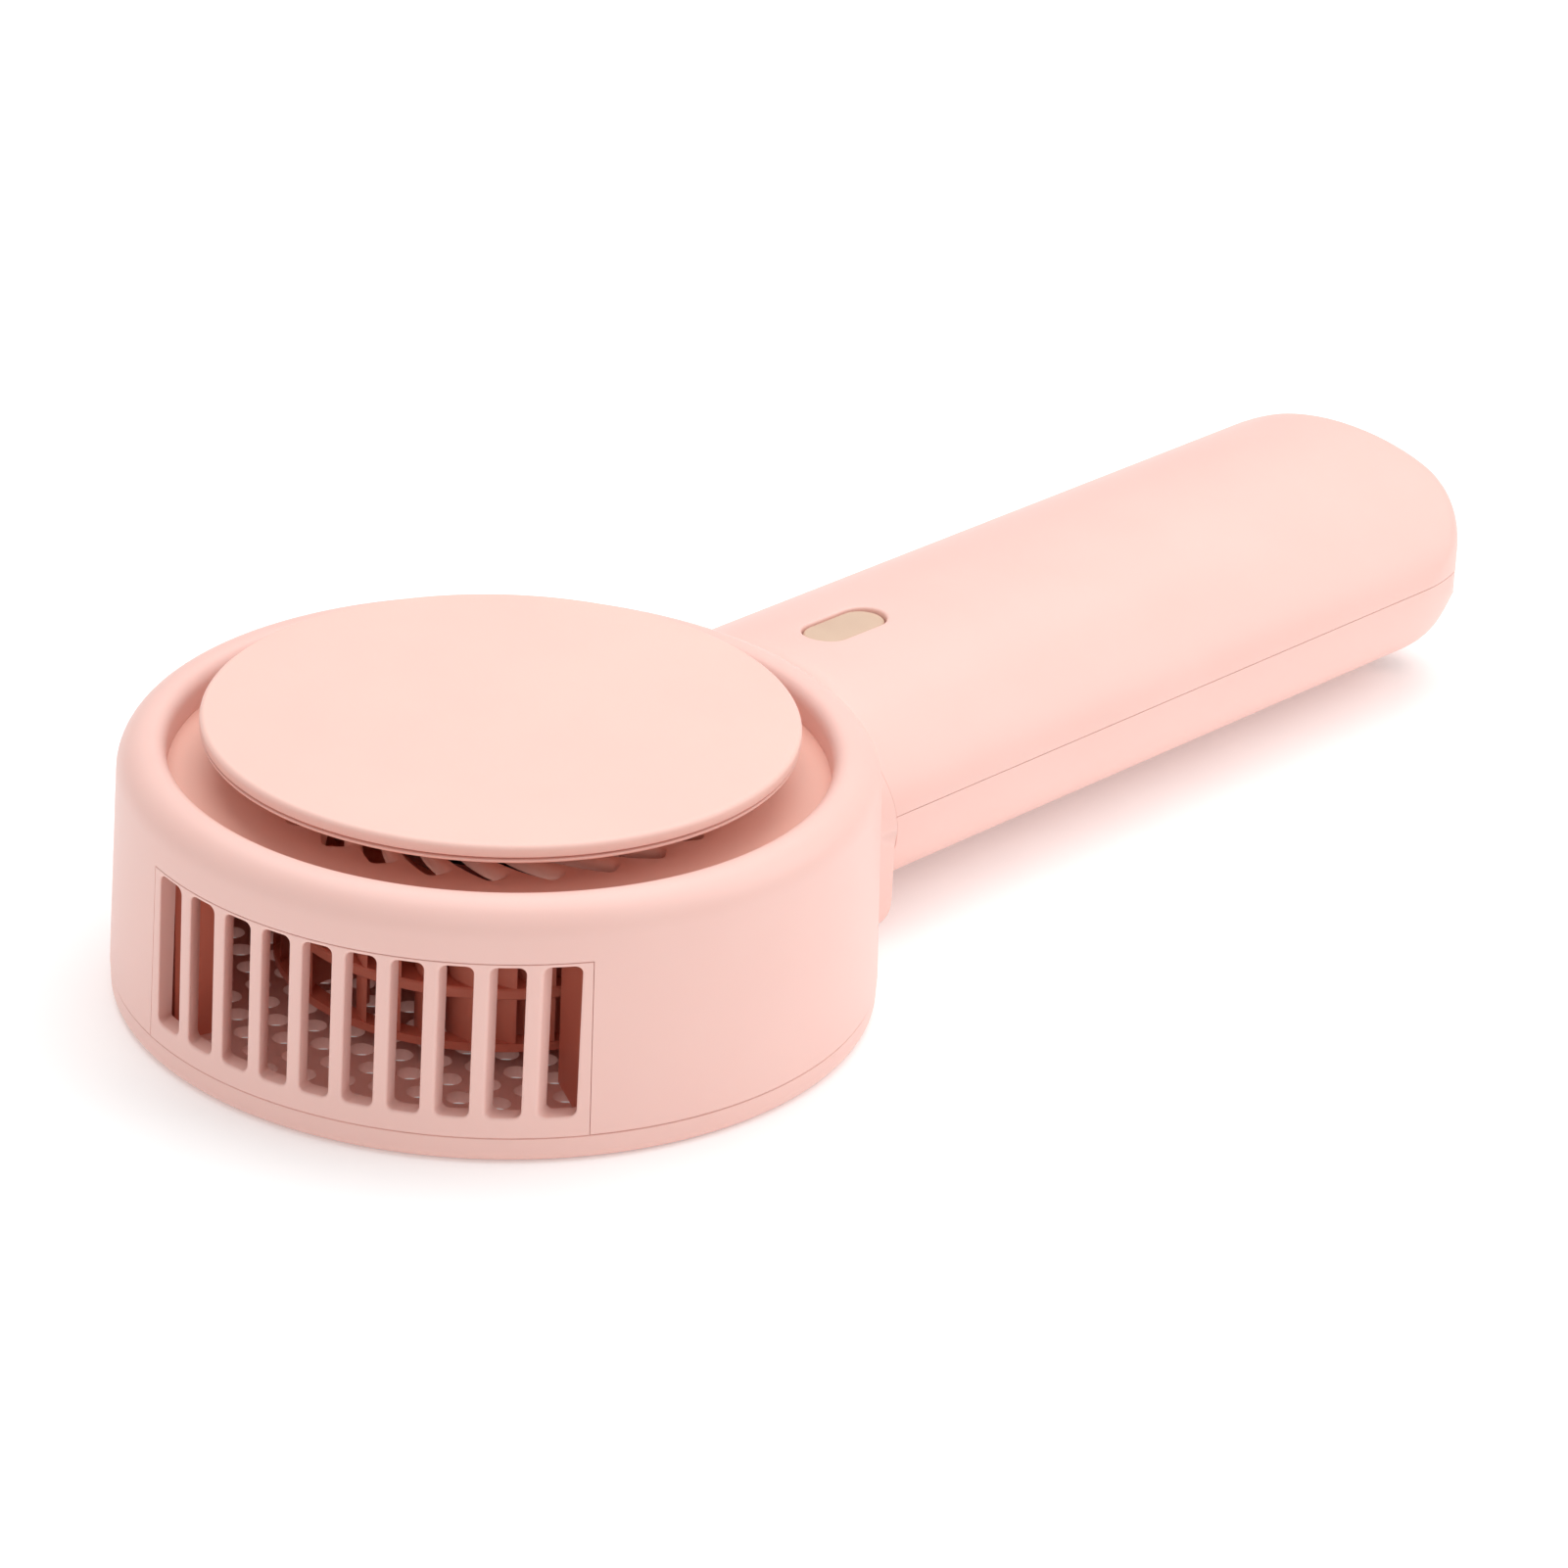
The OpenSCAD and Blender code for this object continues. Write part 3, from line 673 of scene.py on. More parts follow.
def screw_tree() -> Tree:
    """Puts a cross-recessed pan screw on every point, its shank up and its head down."""
    tree = Tree("screws", {"Shank": float, "Length": float, "Head": float, "Depth": float})
    given = tree.given
    shank = cylinder(tree, given["Shank"], -0.1 * MM, given["Length"], 24)
    low = tree.sum("MULTIPLY", given["Depth"], -1.0)
    edge = tree.sum("MULTIPLY", given["Depth"], -0.45)
    rim = cylinder(tree, given["Head"], edge, 0.0, 40)
    crown = tree.node("MeshCone", 40, 1, 1, tree.sum("MULTIPLY", given["Head"], 0.66),
                      given["Head"], tree.sum("SUBTRACT", edge, low)).outputs[0]
    crown = tree.node("Transform", crown, tree.vector(0.0, 0.0, low)).outputs[0]
    whole = tree.node("MeshBoolean", operation="UNION", solver="MANIFOLD")
    for part in (shank, rim, crown):
        tree.group.links.new(part, whole.inputs["Mesh 2"])
    arm = tree.sum("MULTIPLY", given["Head"], 1.1)
    blade = tree.sum("MULTIPLY", given["Head"], 0.2)
    deep = tree.sum("MULTIPLY", given["Depth"], 1.1)
    cut = whole.outputs[0]
    for size in (tree.vector(arm, blade, deep), tree.vector(blade, arm, deep)):
        bar = tree.node("MeshCube", size).outputs[0]
        bar = tree.node("Transform", bar, tree.vector(0.0, 0.0, low)).outputs[0]
        cut = cut_by(tree, cut, bar)
    tree.close(tree.node("InstanceOnPoints", given["Geometry"], None, cut).outputs[0])
    return tree


def points_object(name: str, points: Sequence[Solid]) -> bpy.types.Object:
    """An object of loose points, for a tree to work on."""
    return mesh_object(name, (list(points), []), tidy=False)


# ---------------------------------------------------------------- head


@dataclass
class Head:
    """The drum: shell, outlet grille, dish, floating disc and perforated back.

    Attributes are sizes in millimetres and directions in degrees.
    """

    radius: float = 45.0
    draft: float = 0.65
    wall: float = 2.0
    seam_z: float = 3.2
    straight_z: float = 27.4
    rim_z: float = 31.4
    rim_round: float = 4.0
    lip_round: float = 1.8
    dish_z: float = 27.5
    outlet_dir: float = 201.7
    outlet_span: float = 74.8
    outlet_top: float = 24.7
    grille_t: float = 2.4
    slots: int = 10
    slot_pitch: float = 5.34
    slot_w: float = 3.65
    slot_low: float = 5.7
    slot_high: float = 24.2
    slot_corner: float = 0.8
    slot_round: float = 0.32
    dish_t: float = 1.6
    intake_slots: int = 25
    intake_w: float = 2.0
    intake_in_r: float = 16.6
    intake_turn_r: float = 18.9
    intake_aim: float = -56.0
    intake_sweep: float = 42.0
    intake_lean: float = 20.0
    intake_phase: float = -2.3
    disc_r: float = 34.8
    disc_top: float = 34.6
    screw_r: float = 40.2
    screw_dirs: tuple[float, ...] = (45.0, 135.0, 258.0, 315.0)
    screw_clear: float = 4.1
    hole_pitch: float = 4.6
    hole_r: float = 1.5
    holes_in_r: float = 13.0
    holes_out_r: float = 38.8

    def build(self) -> None:
        """Builds every piece of the head."""
        self.shell()
        self.grille()
        self.dish()
        self.disc()
        self.back()

    def outer(self, z: float) -> float:
        """Radius of the drum's tapering wall at a height."""
        rise = (z - self.seam_z) / (self.straight_z - self.seam_z)
        return self.radius - self.draft * min(max(rise, 0.0), 1.0)

    def screw_spots(self, z: float) -> list[Solid]:
        """Where the back cover's screws are, at a height."""
        turns = [math.radians(a) for a in self.screw_dirs]
        return [(self.screw_r * math.cos(a), self.screw_r * math.sin(a), z) for a in turns]

    def shell(self) -> None:
        """The drum's wall and rim, with the opening for the grille."""
        edge, gap = 0.12, 0.05
        top_r = self.radius - self.draft
        crest = top_r - self.rim_round
        inner = self.radius - self.wall
        lip = crest - self.lip_round
        split = self.outlet_top + gap
        low = self.seam_z + gap
        profile = [(self.radius - edge, low), (self.radius, low + edge), (self.outer(split), split)]
        upper = arc(crest, self.straight_z, self.rim_round, 0, 90, 14)
        upper += arc(crest, self.rim_z - self.lip_round, self.lip_round, 90, 180, 8)[1:]
        upper += [(lip, self.dish_z + 0.02), (top_r - self.wall, self.dish_z + 0.02)]
        profile += upper + [(inner - 0.5, split), (inner, low)]
        first, last = 2, len(profile) - 2
        half = self.outlet_span / 2
        turns = spread(self.outlet_dir + half, self.outlet_dir + 360 - half, 150)
        window = spread(self.outlet_dir - half, self.outlet_dir + half, 50)
        skin = Skin()

        def station(degrees: float, part: Sequence[Flat]) -> list[int]:
            """A ring of the profile's points at an angle."""
            a = math.radians(degrees)
            return skin.ring([(r * math.cos(a), r * math.sin(a), z) for r, z in part])

        rings = [station(a, profile) for a in turns]
        skin.stack(rings)
        skin.stack([station(a, profile[first:last + 1]) for a in window])
        for end in (rings[0], rings[-1]):
            skin.faces.append(end[:first + 1] + end[last:])
        piece = mesh_object("drum_shell", skin.shape())
        dress(piece, PINK, Body.HOUSING, ["head_shell"])
        posts = points_object("drum_posts", self.screw_spots(1.5))
        post_tree().apply(posts, PINK, Radius=2.2 * MM, Height=24.2 * MM, Bore=0.7 * MM,
                          Head_Bore=0.72 * MM, Head_Depth=0.2 * MM)
        dress(posts, PINK, Body.HOUSING)

    def grille(self) -> None:
        """The curved insert with upright slots that are cut straight along the outlet."""
        aim = math.radians(self.outlet_dir)
        half = math.radians(self.outlet_span / 2) - 0.05 / self.radius
        low, high = self.seam_z + 0.05, self.outlet_top - 0.05
        middle = (self.slot_low + self.slot_high) / 2
        tall = (self.slot_high - self.slot_low) / 2
        skin = Skin()

        def place(phi: float, z: float, depth: float) -> Solid:
            """A point of the insert at an angle from its middle, below its face."""
            r = self.outer(z) - depth
            return r * math.cos(aim + phi), r * math.sin(aim + phi), z

        def slot_at(offset: float, grow: float, depth: float) -> list[Flat]:
            """Outline of a slot as (angle, z) at a depth, kept inside the insert's ends."""
            outline = rounded_outline(self.slot_w / 2 + grow, tall + grow,
                                      self.slot_corner + grow, 5, 2, 7)
            limit = half - 0.5 / self.radius
            turns = [math.asin((s + offset) / (self.outer(z + middle) - depth))
                     for s, z in outline]
            return [(min(limit, max(-limit, turn)), z + middle)
                    for turn, (_, z) in zip(turns, outline)]

        def edge_at(inset: float) -> list[Flat]:
            """The insert's own outline as (angle, z)."""
            turn = half - inset / self.radius
            a, b = low + inset, high - inset
            corners = [(-turn, a), (turn, a), (turn, b), (-turn, b)]
            outline: list[Flat] = []
            for k, corner in enumerate(corners):
                outline.append(corner)
                outline += between(corner, corners[(k + 1) % 4], 7 if k % 2 else 54)
            return outline

        break_edge = 0.15
        levels = round_edge(self.slot_round, 4)
        levels += [(0.0, self.grille_t - break_edge), (break_edge, self.grille_t)]
        offsets = [(i - (self.slots - 1) / 2) * self.slot_pitch for i in range(self.slots)]
        frame_levels = [(0.07, 0.0), (0.0, 0.07), (0.0, self.grille_t)]
        stacks = [[(edge_at(grow), depth) for grow, depth in frame_levels]]
        stacks += [[(slot_at(o, grow, depth), depth) for grow, depth in levels]
                   for o in offsets]
        first, last = skin.walls(stacks, place)
        inside = []
        for phi in spread(-half, half, 62)[1:-1]:
            for z in spread(low, high, 11)[1:-1]:
                side = self.radius * math.sin(phi)
                clear = min(abs(side - o) for o in offsets) > self.slot_w / 2 + 0.9
                if clear or not self.slot_low - 0.8 < z < self.slot_high + 0.8:
                    inside.append((phi, z))
        scale = self.radius
        for (flats, rings), depth in ((first, 0.0), (last, self.grille_t)):
            skin.cap([[(phi * scale, z) for phi, z in flat] for flat in flats], rings,
                     [(phi * scale, z) for phi, z in inside],
                     lambda u, z, d=depth: place(u / scale, z, d))
        dress(mesh_object("outlet_louvre", skin.shape()), PINK, Body.HOUSING,
              ["outlet_grille"], crease=40)

    def dish(self) -> None:
        """The shallow dish, with leaning slots that run in towards the motor."""
        thick, width, turn_r = self.dish_t, self.intake_w, self.intake_turn_r
        middle, rim = 29.4, 38.53
        lean, aim, sweep, phase = (math.radians(a) for a in (
            self.intake_lean, self.intake_aim, self.intake_sweep, self.intake_phase))
        crisp, roll = 0.15, 1.9
        hub = (self.intake_in_r - turn_r * math.cos(aim), -turn_r * math.sin(aim))
        edge = self.radius - self.draft - self.wall - 1.2
        skin = Skin()

        def top(r: float) -> float:
            """Height of the dish's upper face at a radius."""
            rise = min(max((r - middle) / (rim - middle), 0.0), 1.0)
            return self.dish_z - 0.5 + 0.5 * rise

        def place(x: float, y: float, depth: float) -> Solid:
            """A point of the dish at a depth below its upper face."""
            return x, y, top(math.hypot(x, y)) - depth

        def drawn(radius: float, depth: float) -> float:
            """How far a round edge stands back at a depth."""
            return radius - math.sqrt(max(0.0, radius ** 2 - max(0.0, radius - depth) ** 2))

        def slot_at(turn: float, depth: float) -> list[Flat]:
            """Outline of a curved slot: crisp on its outer side, rolled on its inner one.

            Args:
                turn: the slot's place round the axis, in radians.
                depth: distance below the dish's upper face.

            Returns:
                The outline's points in X and Y.
            """
            path_r = turn_r - (depth - thick / 2) * math.tan(lean)
            half = width / 2 / math.cos(lean)
            outer = half + drawn(crisp, depth)
            points = []

            def put(along: float, beyond: float, side: float) -> None:
                """Adds a point by its place on the path, past it and beside it."""
                a = aim + sweep * along
                x = hub[0] + (path_r - side) * math.cos(a) - beyond * math.sin(a)
                y = hub[1] + (path_r - side) * math.sin(a) + beyond * math.cos(a)
                points.append((x * math.cos(turn) - y * math.sin(turn),
                               x * math.sin(turn) + y * math.cos(turn)))

            def inner(along: float) -> float:
                """Offset of the rolled side, which grows outwards along the slot."""
                return half + drawn(roll, depth) * (0.15 + 0.85 * along)

            for along in spread(0, 1, 16):
                put(along, 0.0, -outer)
            for t in spread(-math.pi / 2, math.pi / 2, 14)[1:-1]:
                side = math.sin(t) * (outer if t < 0 else inner(1.0))
                tip = width / 2 + (drawn(crisp, depth) if t < 0 else
                                   drawn(crisp, depth) + 0.4 * drawn(roll, depth) * math.sin(t))
                put(1.0, math.cos(t) * tip, side)
            for along in spread(1, 0, 16):
                put(along, 0.0, inner(along))
            for t in spread(math.pi / 2, -math.pi / 2, 10)[1:-1]:
                side = math.sin(t) * (outer if t < 0 else inner(0.0))
                put(0.0, -math.cos(t) * width / 2, side)
            return points

        def circle_at(r: float, count: int) -> list[Flat]:
            """A whole circle about the axis."""
            return arc(0, 0, r, 0, 360, count)[:-1]

        depths = (0.0, 0.05, 0.15, 0.32, 0.6, 0.95, 1.3, thick)
        turns = [phase + math.tau * i / self.intake_slots for i in range(self.intake_slots)]
        stacks = [[(circle_at(edge, 150), d) for d in (0.0, thick)],
                  [(circle_at(2.0, 32), d) for d in (0.0, thick)]]
        stacks += [[(slot_at(t, d), d) for d in depths] for t in turns]
        first, last = skin.walls(stacks, place)
        inside = [p for r, n in ((5, 24), (8.5, 40), (29.4, 150), (32.4, 150), (35.5, 150),
                                 (rim, 150)) for p in circle_at(r, n)]
        for (flats, rings), depth in ((first, 0.0), (last, thick)):
            skin.cap(flats, rings, inside, lambda x, y, d=depth: place(x, y, d))
        # The dish wears the body's pink with painted shade in its colour.
        dress(mesh_object("dish", skin.shape()), DISH_PAINTED_SHADE, Body.HOUSING, ["intake_dish"])

    def disc(self) -> None:
        """The floating disc: a plain cap on a carrier plate with a column under it."""
        r, top = self.disc_r, self.disc_top
        seam = top - 1.45
        cap = [(0, seam)] + arc(r - 0.12, seam + 0.12, 0.12, -90, 0, 3)
        cap += arc(r - 0.6, top - 0.6, 0.6, 0, 90, 8) + [(r * 0.5, top), (0, top)]
        dress(mesh_object("cover_cap", lathe(cap, 240)), PALE, Body.HOUSING, ["cover_disc"])
        low, dish = top - 2.2, self.dish_z - 0.5
        plate = [(0, dish), (11, dish)] + arc(12.4, low - 1.4, 1.4, 180, 90, 6)
        plate += arc(r - 0.4, low + 0.3, 0.3, -90, 0, 6)
        plate += [(r - 0.1, seam - 0.36), (r - 0.2, seam - 0.3), (r - 0.8, seam - 0.3),
                  (0, seam - 0.3)]
        dress(mesh_object("cap_carrier", lathe(plate, 240)), PALE, Body.HOUSING,
              ["disc_carrier"])

    def back(self) -> None:
        """The perforated back cover, with a rounded lower edge."""
        edge, plate = 1.4, 1.4
        r = self.radius - 0.1
        top = self.seam_z - 0.05
        inner = self.radius - self.wall - 0.2
        blank = [(0, 0)] + arc(r - edge, edge, edge, -90, 0, 8)
        blank += [(r, top - 0.1), (r - 0.1, top), (inner, top), (inner, plate), (0, plate)]
        piece = mesh_object("back_plate", lathe(blank, 180))
        places = self.screw_spots(0.0)
        posts = points_object("screw_places", places)
        perforation_tree().apply(piece, PINK, Pitch=self.hole_pitch * MM,
                                 Hole_Radius=self.hole_r * MM,
                                 Inner_Radius=self.holes_in_r * MM,
                                 Outer_Radius=self.holes_out_r * MM,
                                 Keep_Clear=self.screw_clear * MM, Clear_Points=posts)
        bpy.data.objects.remove(posts)
        recess = rod(1.75, -1, 0.9)
        carve(piece, joined(*[moved(recess, spot) for spot in places]))
        dress(piece, PINK, Body.HOUSING, ["back_cover"])


def moved(shape: Shape, by: Solid) -> Shape:
    """A shape shifted by a vector."""
    return [tuple(a + b for a, b in zip(p, by)) for p in shape[0]], shape[1]


def carve(piece: bpy.types.Object, tool: Shape) -> None:
    """Cuts a shape out of a piece.

    Args:
        piece: the object that is cut.
        tool: the shape taken away.
    """
    cutter = mesh_object("cutter", tool)
    modifier = piece.modifiers.new("cut", "BOOLEAN")
    modifier.operation = "DIFFERENCE"
    modifier.solver = "EXACT"
    modifier.object = cutter
    bake(piece, modifier)
    bpy.data.objects.remove(cutter)


# ---------------------------------------------------------------- handle


@dataclass
class Handle:
    """The oval grip: two shells, the neck that joins it to the drum, and the button.

    Attributes are sizes and places in millimetres. The rows are where the shells have
    rings of points, and the patch is the stretch of them that holds the button.
    """

    FRONT_POINTS: ClassVar[int] = 8

    width: float = 47.5
    height: float = 28.0
    front_x: float = 43.42
    hug_r: float = 45.5
    end_x: float = 158.8
    corner_r: float = 13.0
    front_round: float = 3.4
    end_round: float = 2.2
    end_under: float = 6.5
    wall: float = 2.0
    parting_z: float = 16.0
    button_x: float = 60.1
    button_y: float = 1.2
    button_l: float = 12.0
    button_w: float = 5.8
    button_gap: float = 0.2
    patch: Flat = (51.0, 68.5)
    rows: tuple[float, ...] = (49.3, 50.1, 51.0, 68.5, 75.0, 85.0, 95.0, 105.0, 115.0,
                               125.0, 135.0, 141.0)
    screw_places: tuple[Flat, ...] = ((49.0, 12.0), (49.0, -12.0), (151.4, 13.0),
                                      (151.4, -13.0))
    well_r: float = 2.0
    inlet_z: float = 10.8
    spigot_end: float = 52.6
    spigot_inset: float = 2.15

    def build(self) -> None:
        """Builds the neck, both shells, their posts and the button."""
        self.neck()
        self.upper()
        self.lower()
        self.button()

    def screw_spots(self, z: float) -> list[Solid]:
        """Where the handle's screws are, at a height."""
        return [(x, y, z) for x, y in self.screw_places]

    def middle_z(self) -> float:
        """Height of the oval's centre."""
        return self.height / 2

    def top_z(self, y: float, inset: float = 0.0) -> float:
        """Height of the oval's upper face at an offset from the middle."""
        a, b = self.width / 2 - inset, self.height / 2 - inset
        return self.middle_z() + b * math.sqrt(max(0.0, 1 - (y / a) ** 2))

    def reach(self, turn: float, centre_z: float, inset: float) -> float:
        """Distance from a lengthwise axis to the oval in one direction.

        Args:
            turn: direction in radians, 0 along +Y and up from there.
            centre_z: height of the axis.
            inset: how far the oval is drawn back.

        Returns:
            The distance.
        """
        a, b = self.width / 2 - inset, self.height / 2 - inset
        rise = centre_z - self.middle_z()
        c, s = math.cos(turn), math.sin(turn)
        k2 = (c / a) ** 2 + (s / b) ** 2
        k1 = 2 * rise * s / b ** 2
        k0 = (rise / b) ** 2 - 1
        return (-k1 + math.sqrt(k1 * k1 - 4 * k2 * k0)) / (2 * k2)

    def end_at(self, y: float, inset: float) -> float:
        """X of the far end's wall at an offset from the middle."""
        r = self.corner_r - inset
        over = abs(y) - (self.width / 2 - self.corner_r)
        flat = self.end_x - inset
        return flat if over <= 0 else flat - r + math.sqrt(max(0.0, r * r - over * over))

    def front_at(self, y: float) -> float:
        """X of the front edge, which hugs the drum in the middle."""
        return max(self.front_x, math.sqrt(max(0.0, self.hug_r ** 2 - y * y)))

    def profile(self, turn: float, centre_z: float, inset: float) -> list[Flat]:
        """Lengthwise section of the outside or the inside in one direction.

        Args:
            turn: direction in radians.
            centre_z: height of the lengthwise axis.
            inset: 0 for the outside, the wall's thickness for the inside.

        Returns:
            (x, distance from the axis) from the front's inner edge to the far end's middle.
        """
        c = math.cos(turn)
        full = self.reach(turn, centre_z, inset)
        inner = self.reach(turn, centre_z, self.wall)
        start = (self.front_at(inner * c), inner)
        if inset:
            steps = self.FRONT_POINTS
            front = [(x, inner) for x in spread(start[0], self.rows[0], steps)[:-1]]
        else:
            corner_x = self.front_at(full * c)
            ahead = min(1.0, max(0.0, corner_x - self.front_x) / 1.2)
            bend = 0.08 + self.front_round * ahead
            below = (self.front_at((full - bend) * c), full - bend)
            front = [start, ((start[0] + below[0]) / 2, (start[1] + below[1]) / 2)]
            front += rounded_corner(below, (corner_x, full), (corner_x + bend, full),
                                    self.FRONT_POINTS - 3)
        tube = [(x, full) for x in self.rows]
        dense = [(self.end_at(full * math.sin(t) * c, inset), full * math.sin(t))
                 for t in spread(math.pi / 2, 0, 240)]
        under = min(1.0, max(0.0, 0.25 - 1.6 * math.sin(turn)))
        bend = max(0.8, self.end_round + self.end_under * under - inset)
        run, k = 0.0, 0
        while run < bend:
            run += math.dist(dense[k], dense[k + 1])
            k += 1
        corner = dense[0]
        leave = (max(corner[0] - bend, self.rows[-1] + 0.5), full)
        tube += [(x, full) for x in spread(self.rows[-1], leave[0], 5)[1:-1]]
        end = rounded_corner(leave, corner, dense[k], 8)
        return front + tube + end + resample(dense[k:], 14)[1:]

    def shell(self, name: str, node: str, turns: Sequence[float], centre_z: float,
              hole: bool) -> bpy.types.Object:
        """One of the two shells, open at the front and along the parting line.

        Args:
            name: the piece's name.
            node: the CAD node it stands for.
            turns: directions in radians from one parting edge to the other.
            centre_z: height of the parting edges.
            hole: cut the button's opening.

        Returns:
            The undressed object.
        """
        skin = Skin()
        walls = []
        for inset in (0.0, self.wall):
            rings = []
            for turn in turns:
                c, s = math.cos(turn), math.sin(turn)
                rings.append(skin.ring([(x, d * c, centre_z + d * s)
                                        for x, d in self.profile(turn, centre_z, inset)]))
            walls.append(rings)
        outer, inner = walls
        first = self.FRONT_POINTS + self.rows.index(self.patch[0])
        spans = [j for j, t in enumerate(turns) if abs(math.cos(t)) < 0.52]
        for rings in walls:
            for j, (a, b) in enumerate(zip(rings, rings[1:])):
                for i in range(len(a) - 1):
                    if hole and i == first and spans[0] <= j < spans[-1]:
                        continue
                    skin.faces.append([a[i], a[i + 1], b[i + 1], b[i]])
        for a, b in ((outer[0], inner[0]), (outer[-1], inner[-1])):
            skin.strip(a, b, closed=False)
        if hole:
            self.cut_button_hole(skin, outer, inner, first, spans)
        return mesh_object(name, skin.shape())

    def cut_button_hole(self, skin: Skin, outer: list[list[int]], inner: list[list[int]],
                        row: int, spans: Sequence[int]) -> None:
        """Fills the gap left in the upper shell with a patch that has the button's opening.

        Args:
            skin: the shell that is being built.
            outer: its outside's rings.
            inner: its inside's rings.
            row: the row of faces that was left out.
            spans: the rings that it was left out between.
        """
        half_l, half_w = self.button_l / 2 + self.button_gap, self.button_w / 2 + self.button_gap
        bend = 0.4

        def outline(grow: float) -> list[Flat]:
            """The opening's outline in X and Y."""
            return self.stadium(half_l + grow, half_w + grow, 6)

        rings = [skin.ring([(x, y, self.top_z(y) - d) for x, y in outline(g)])
                 for g, d in round_edge(bend, 5)]
        rings.append(skin.ring([(x, y, self.top_z(y, self.wall)) for x, y in outline(0.0)]))
        skin.stack(rings)
        inside = [(x, y) for x in spread(*self.patch, 14)[1:-1] for y in spread(-7, 7, 14)
                  if not (abs(x - self.button_x) < half_l + 0.9
                          and abs(y - self.button_y) < half_w + 0.9)]
        for wall, ring, grow, inset in ((outer, rings[0], bend, 0.0),
                                        (inner, rings[-1], 0.0, self.wall)):
            border = [wall[j][row] for j in range(spans[0], spans[-1] + 1)]
            border += [wall[j][row + 1] for j in range(spans[-1], spans[0] - 1, -1)]
            limit = min(abs(skin.points[border[0]][1]), abs(skin.points[border[-1]][1])) - 0.4
            skin.cap([[skin.points[i][:2] for i in border], outline(grow)], [border, ring],
                     [p for p in inside if abs(p[1]) < limit],
                     lambda x, y, n=inset: (x, y, self.top_z(y, n)))

    def upper(self) -> None:
        """The upper shell, with the button's opening."""
        turns = [math.radians(a) for a in spread(0, 180, 96)]
        piece = self.shell("grip_upper", "handle_upper_shell", turns, self.parting_z, True)
        dress(piece, PINK, Body.HOUSING, ["handle_upper_shell"])
        posts = points_object("upper_posts", self.screw_spots(self.parting_z))
        post_tree().apply(posts, PINK, Radius=2.6 * MM, Height=6.8 * MM, Bore=0.82 * MM,
                          Head_Bore=0.84 * MM, Head_Depth=0.2 * MM)
        dress(posts, PINK, Body.HOUSING)

    def lower(self) -> None:
        """The lower shell, with the screws' recesses and the charging inlet."""
        seam = self.parting_z - 0.08
        turns = [math.radians(a) for a in spread(180, 360, 96)]
        piece = self.shell("grip_lower", "handle_lower_shell", turns, seam, False)
        well = rod(self.well_r, -1, 7)
        wells = [moved(well, spot) for spot in self.screw_spots(0)]
        mouth = prism(rounded_outline(4.65, 1.75, 1.6, 8), self.end_x - 4.0, self.end_x + 1.0)
        inlet = [(x, y, self.inlet_z + z) for y, z, x in mouth[0]], mouth[1]
        carve(piece, joined(inlet, *wells))
        dress(piece, PINK, Body.HOUSING, ["handle_lower_shell"])
        foot = 3.46
        posts = points_object("lower_posts", self.screw_spots(foot))
        post_tree().apply(posts, PINK, Radius=2.6 * MM, Height=(seam - foot) * MM,
                          Bore=1.1 * MM, Head_Bore=self.well_r * MM, Head_Depth=3.54 * MM)
        dress(posts, PINK, Body.HOUSING)

    def neck(self) -> None:
        """The fuller block between the drum and the handle, with its spigot."""
        a, b, mid = self.width / 2, self.height / 2, self.middle_z()
        low, low_r = 0.2, 5.0
        outline = [(a * math.cos(t), mid + b * math.sin(t)) for t in spread(0, math.pi, 60)]
        outline += between(outline[-1], (-a, low + low_r), 5)
        outline += arc(-a + low_r, low + low_r, low_r, 180, 270, 10)
        outline += between(outline[-1], (a - low_r, low), 30)
        outline += arc(a - low_r, low + low_r, low_r, 270, 360, 10)
        outline += between(outline[-1], outline[0], 5)
        drum, rear, bend = 45.03, self.front_x - 0.03, 0.5
        inset = self.spigot_inset
        spigot = [self.pull_in((y * (a - inset) / a, mid + (z - mid) * (b - inset) / b), inset)
                  for y, z in outline]
        skin = Skin()
        rings = [skin.ring([(math.sqrt(drum ** 2 - y * y), y, z) for y, z in outline])]
        lower = [z < mid for _, z in outline]
        for back, pull in round_edge(bend, 4):
            ring = []
            for (y, z), under in zip(outline, lower):
                k = (1 - pull / 20) if under else 1.0
                ring.append((rear - (back if under else 0.0), y * k, mid + (z - mid) * k))
            rings.append(skin.ring(ring))
        rings.append(skin.ring([(rear, y, z) for y, z in spigot]))
        rings.append(skin.ring([(self.spigot_end, y, z) for y, z in spigot]))
        skin.stack(rings)
        grid = [(y, z) for y in spread(-22, 22, 22) for z in spread(2, 26, 12)
                if (y / (a - 1)) ** 2 + ((z - mid) / (b - 1)) ** 2 < 1]
        skin.cap([outline], [rings[0]], grid,
                 lambda y, z: (math.sqrt(drum ** 2 - y * y), y, z))
        skin.cap([spigot], [rings[-1]], [], lambda y, z: (self.spigot_end, y, z))
        dress(mesh_object("neck", skin.shape()), PINK, Body.HOUSING, ["neck_block"])

    def pull_in(self, point: Flat, inset: float) -> Flat:
        """A point drawn onto the oval that fits inside the shells, if it is outside it."""
        a, b, mid = self.width / 2 - inset, self.height / 2 - inset, self.middle_z()
        y, z = point
        far = math.hypot(y / a, (z - mid) / b)
        return (y / far, mid + (z - mid) / far)

    def stadium(self, half_l: float, half_w: float, across: int) -> list[Flat]:
        """A stadium round the button's middle, in X and Y."""
        outline = rounded_outline(half_l, half_w, half_w - 0.001, 10, across, 1)
        return [(self.button_x + x, self.button_y + y) for x, y in outline]

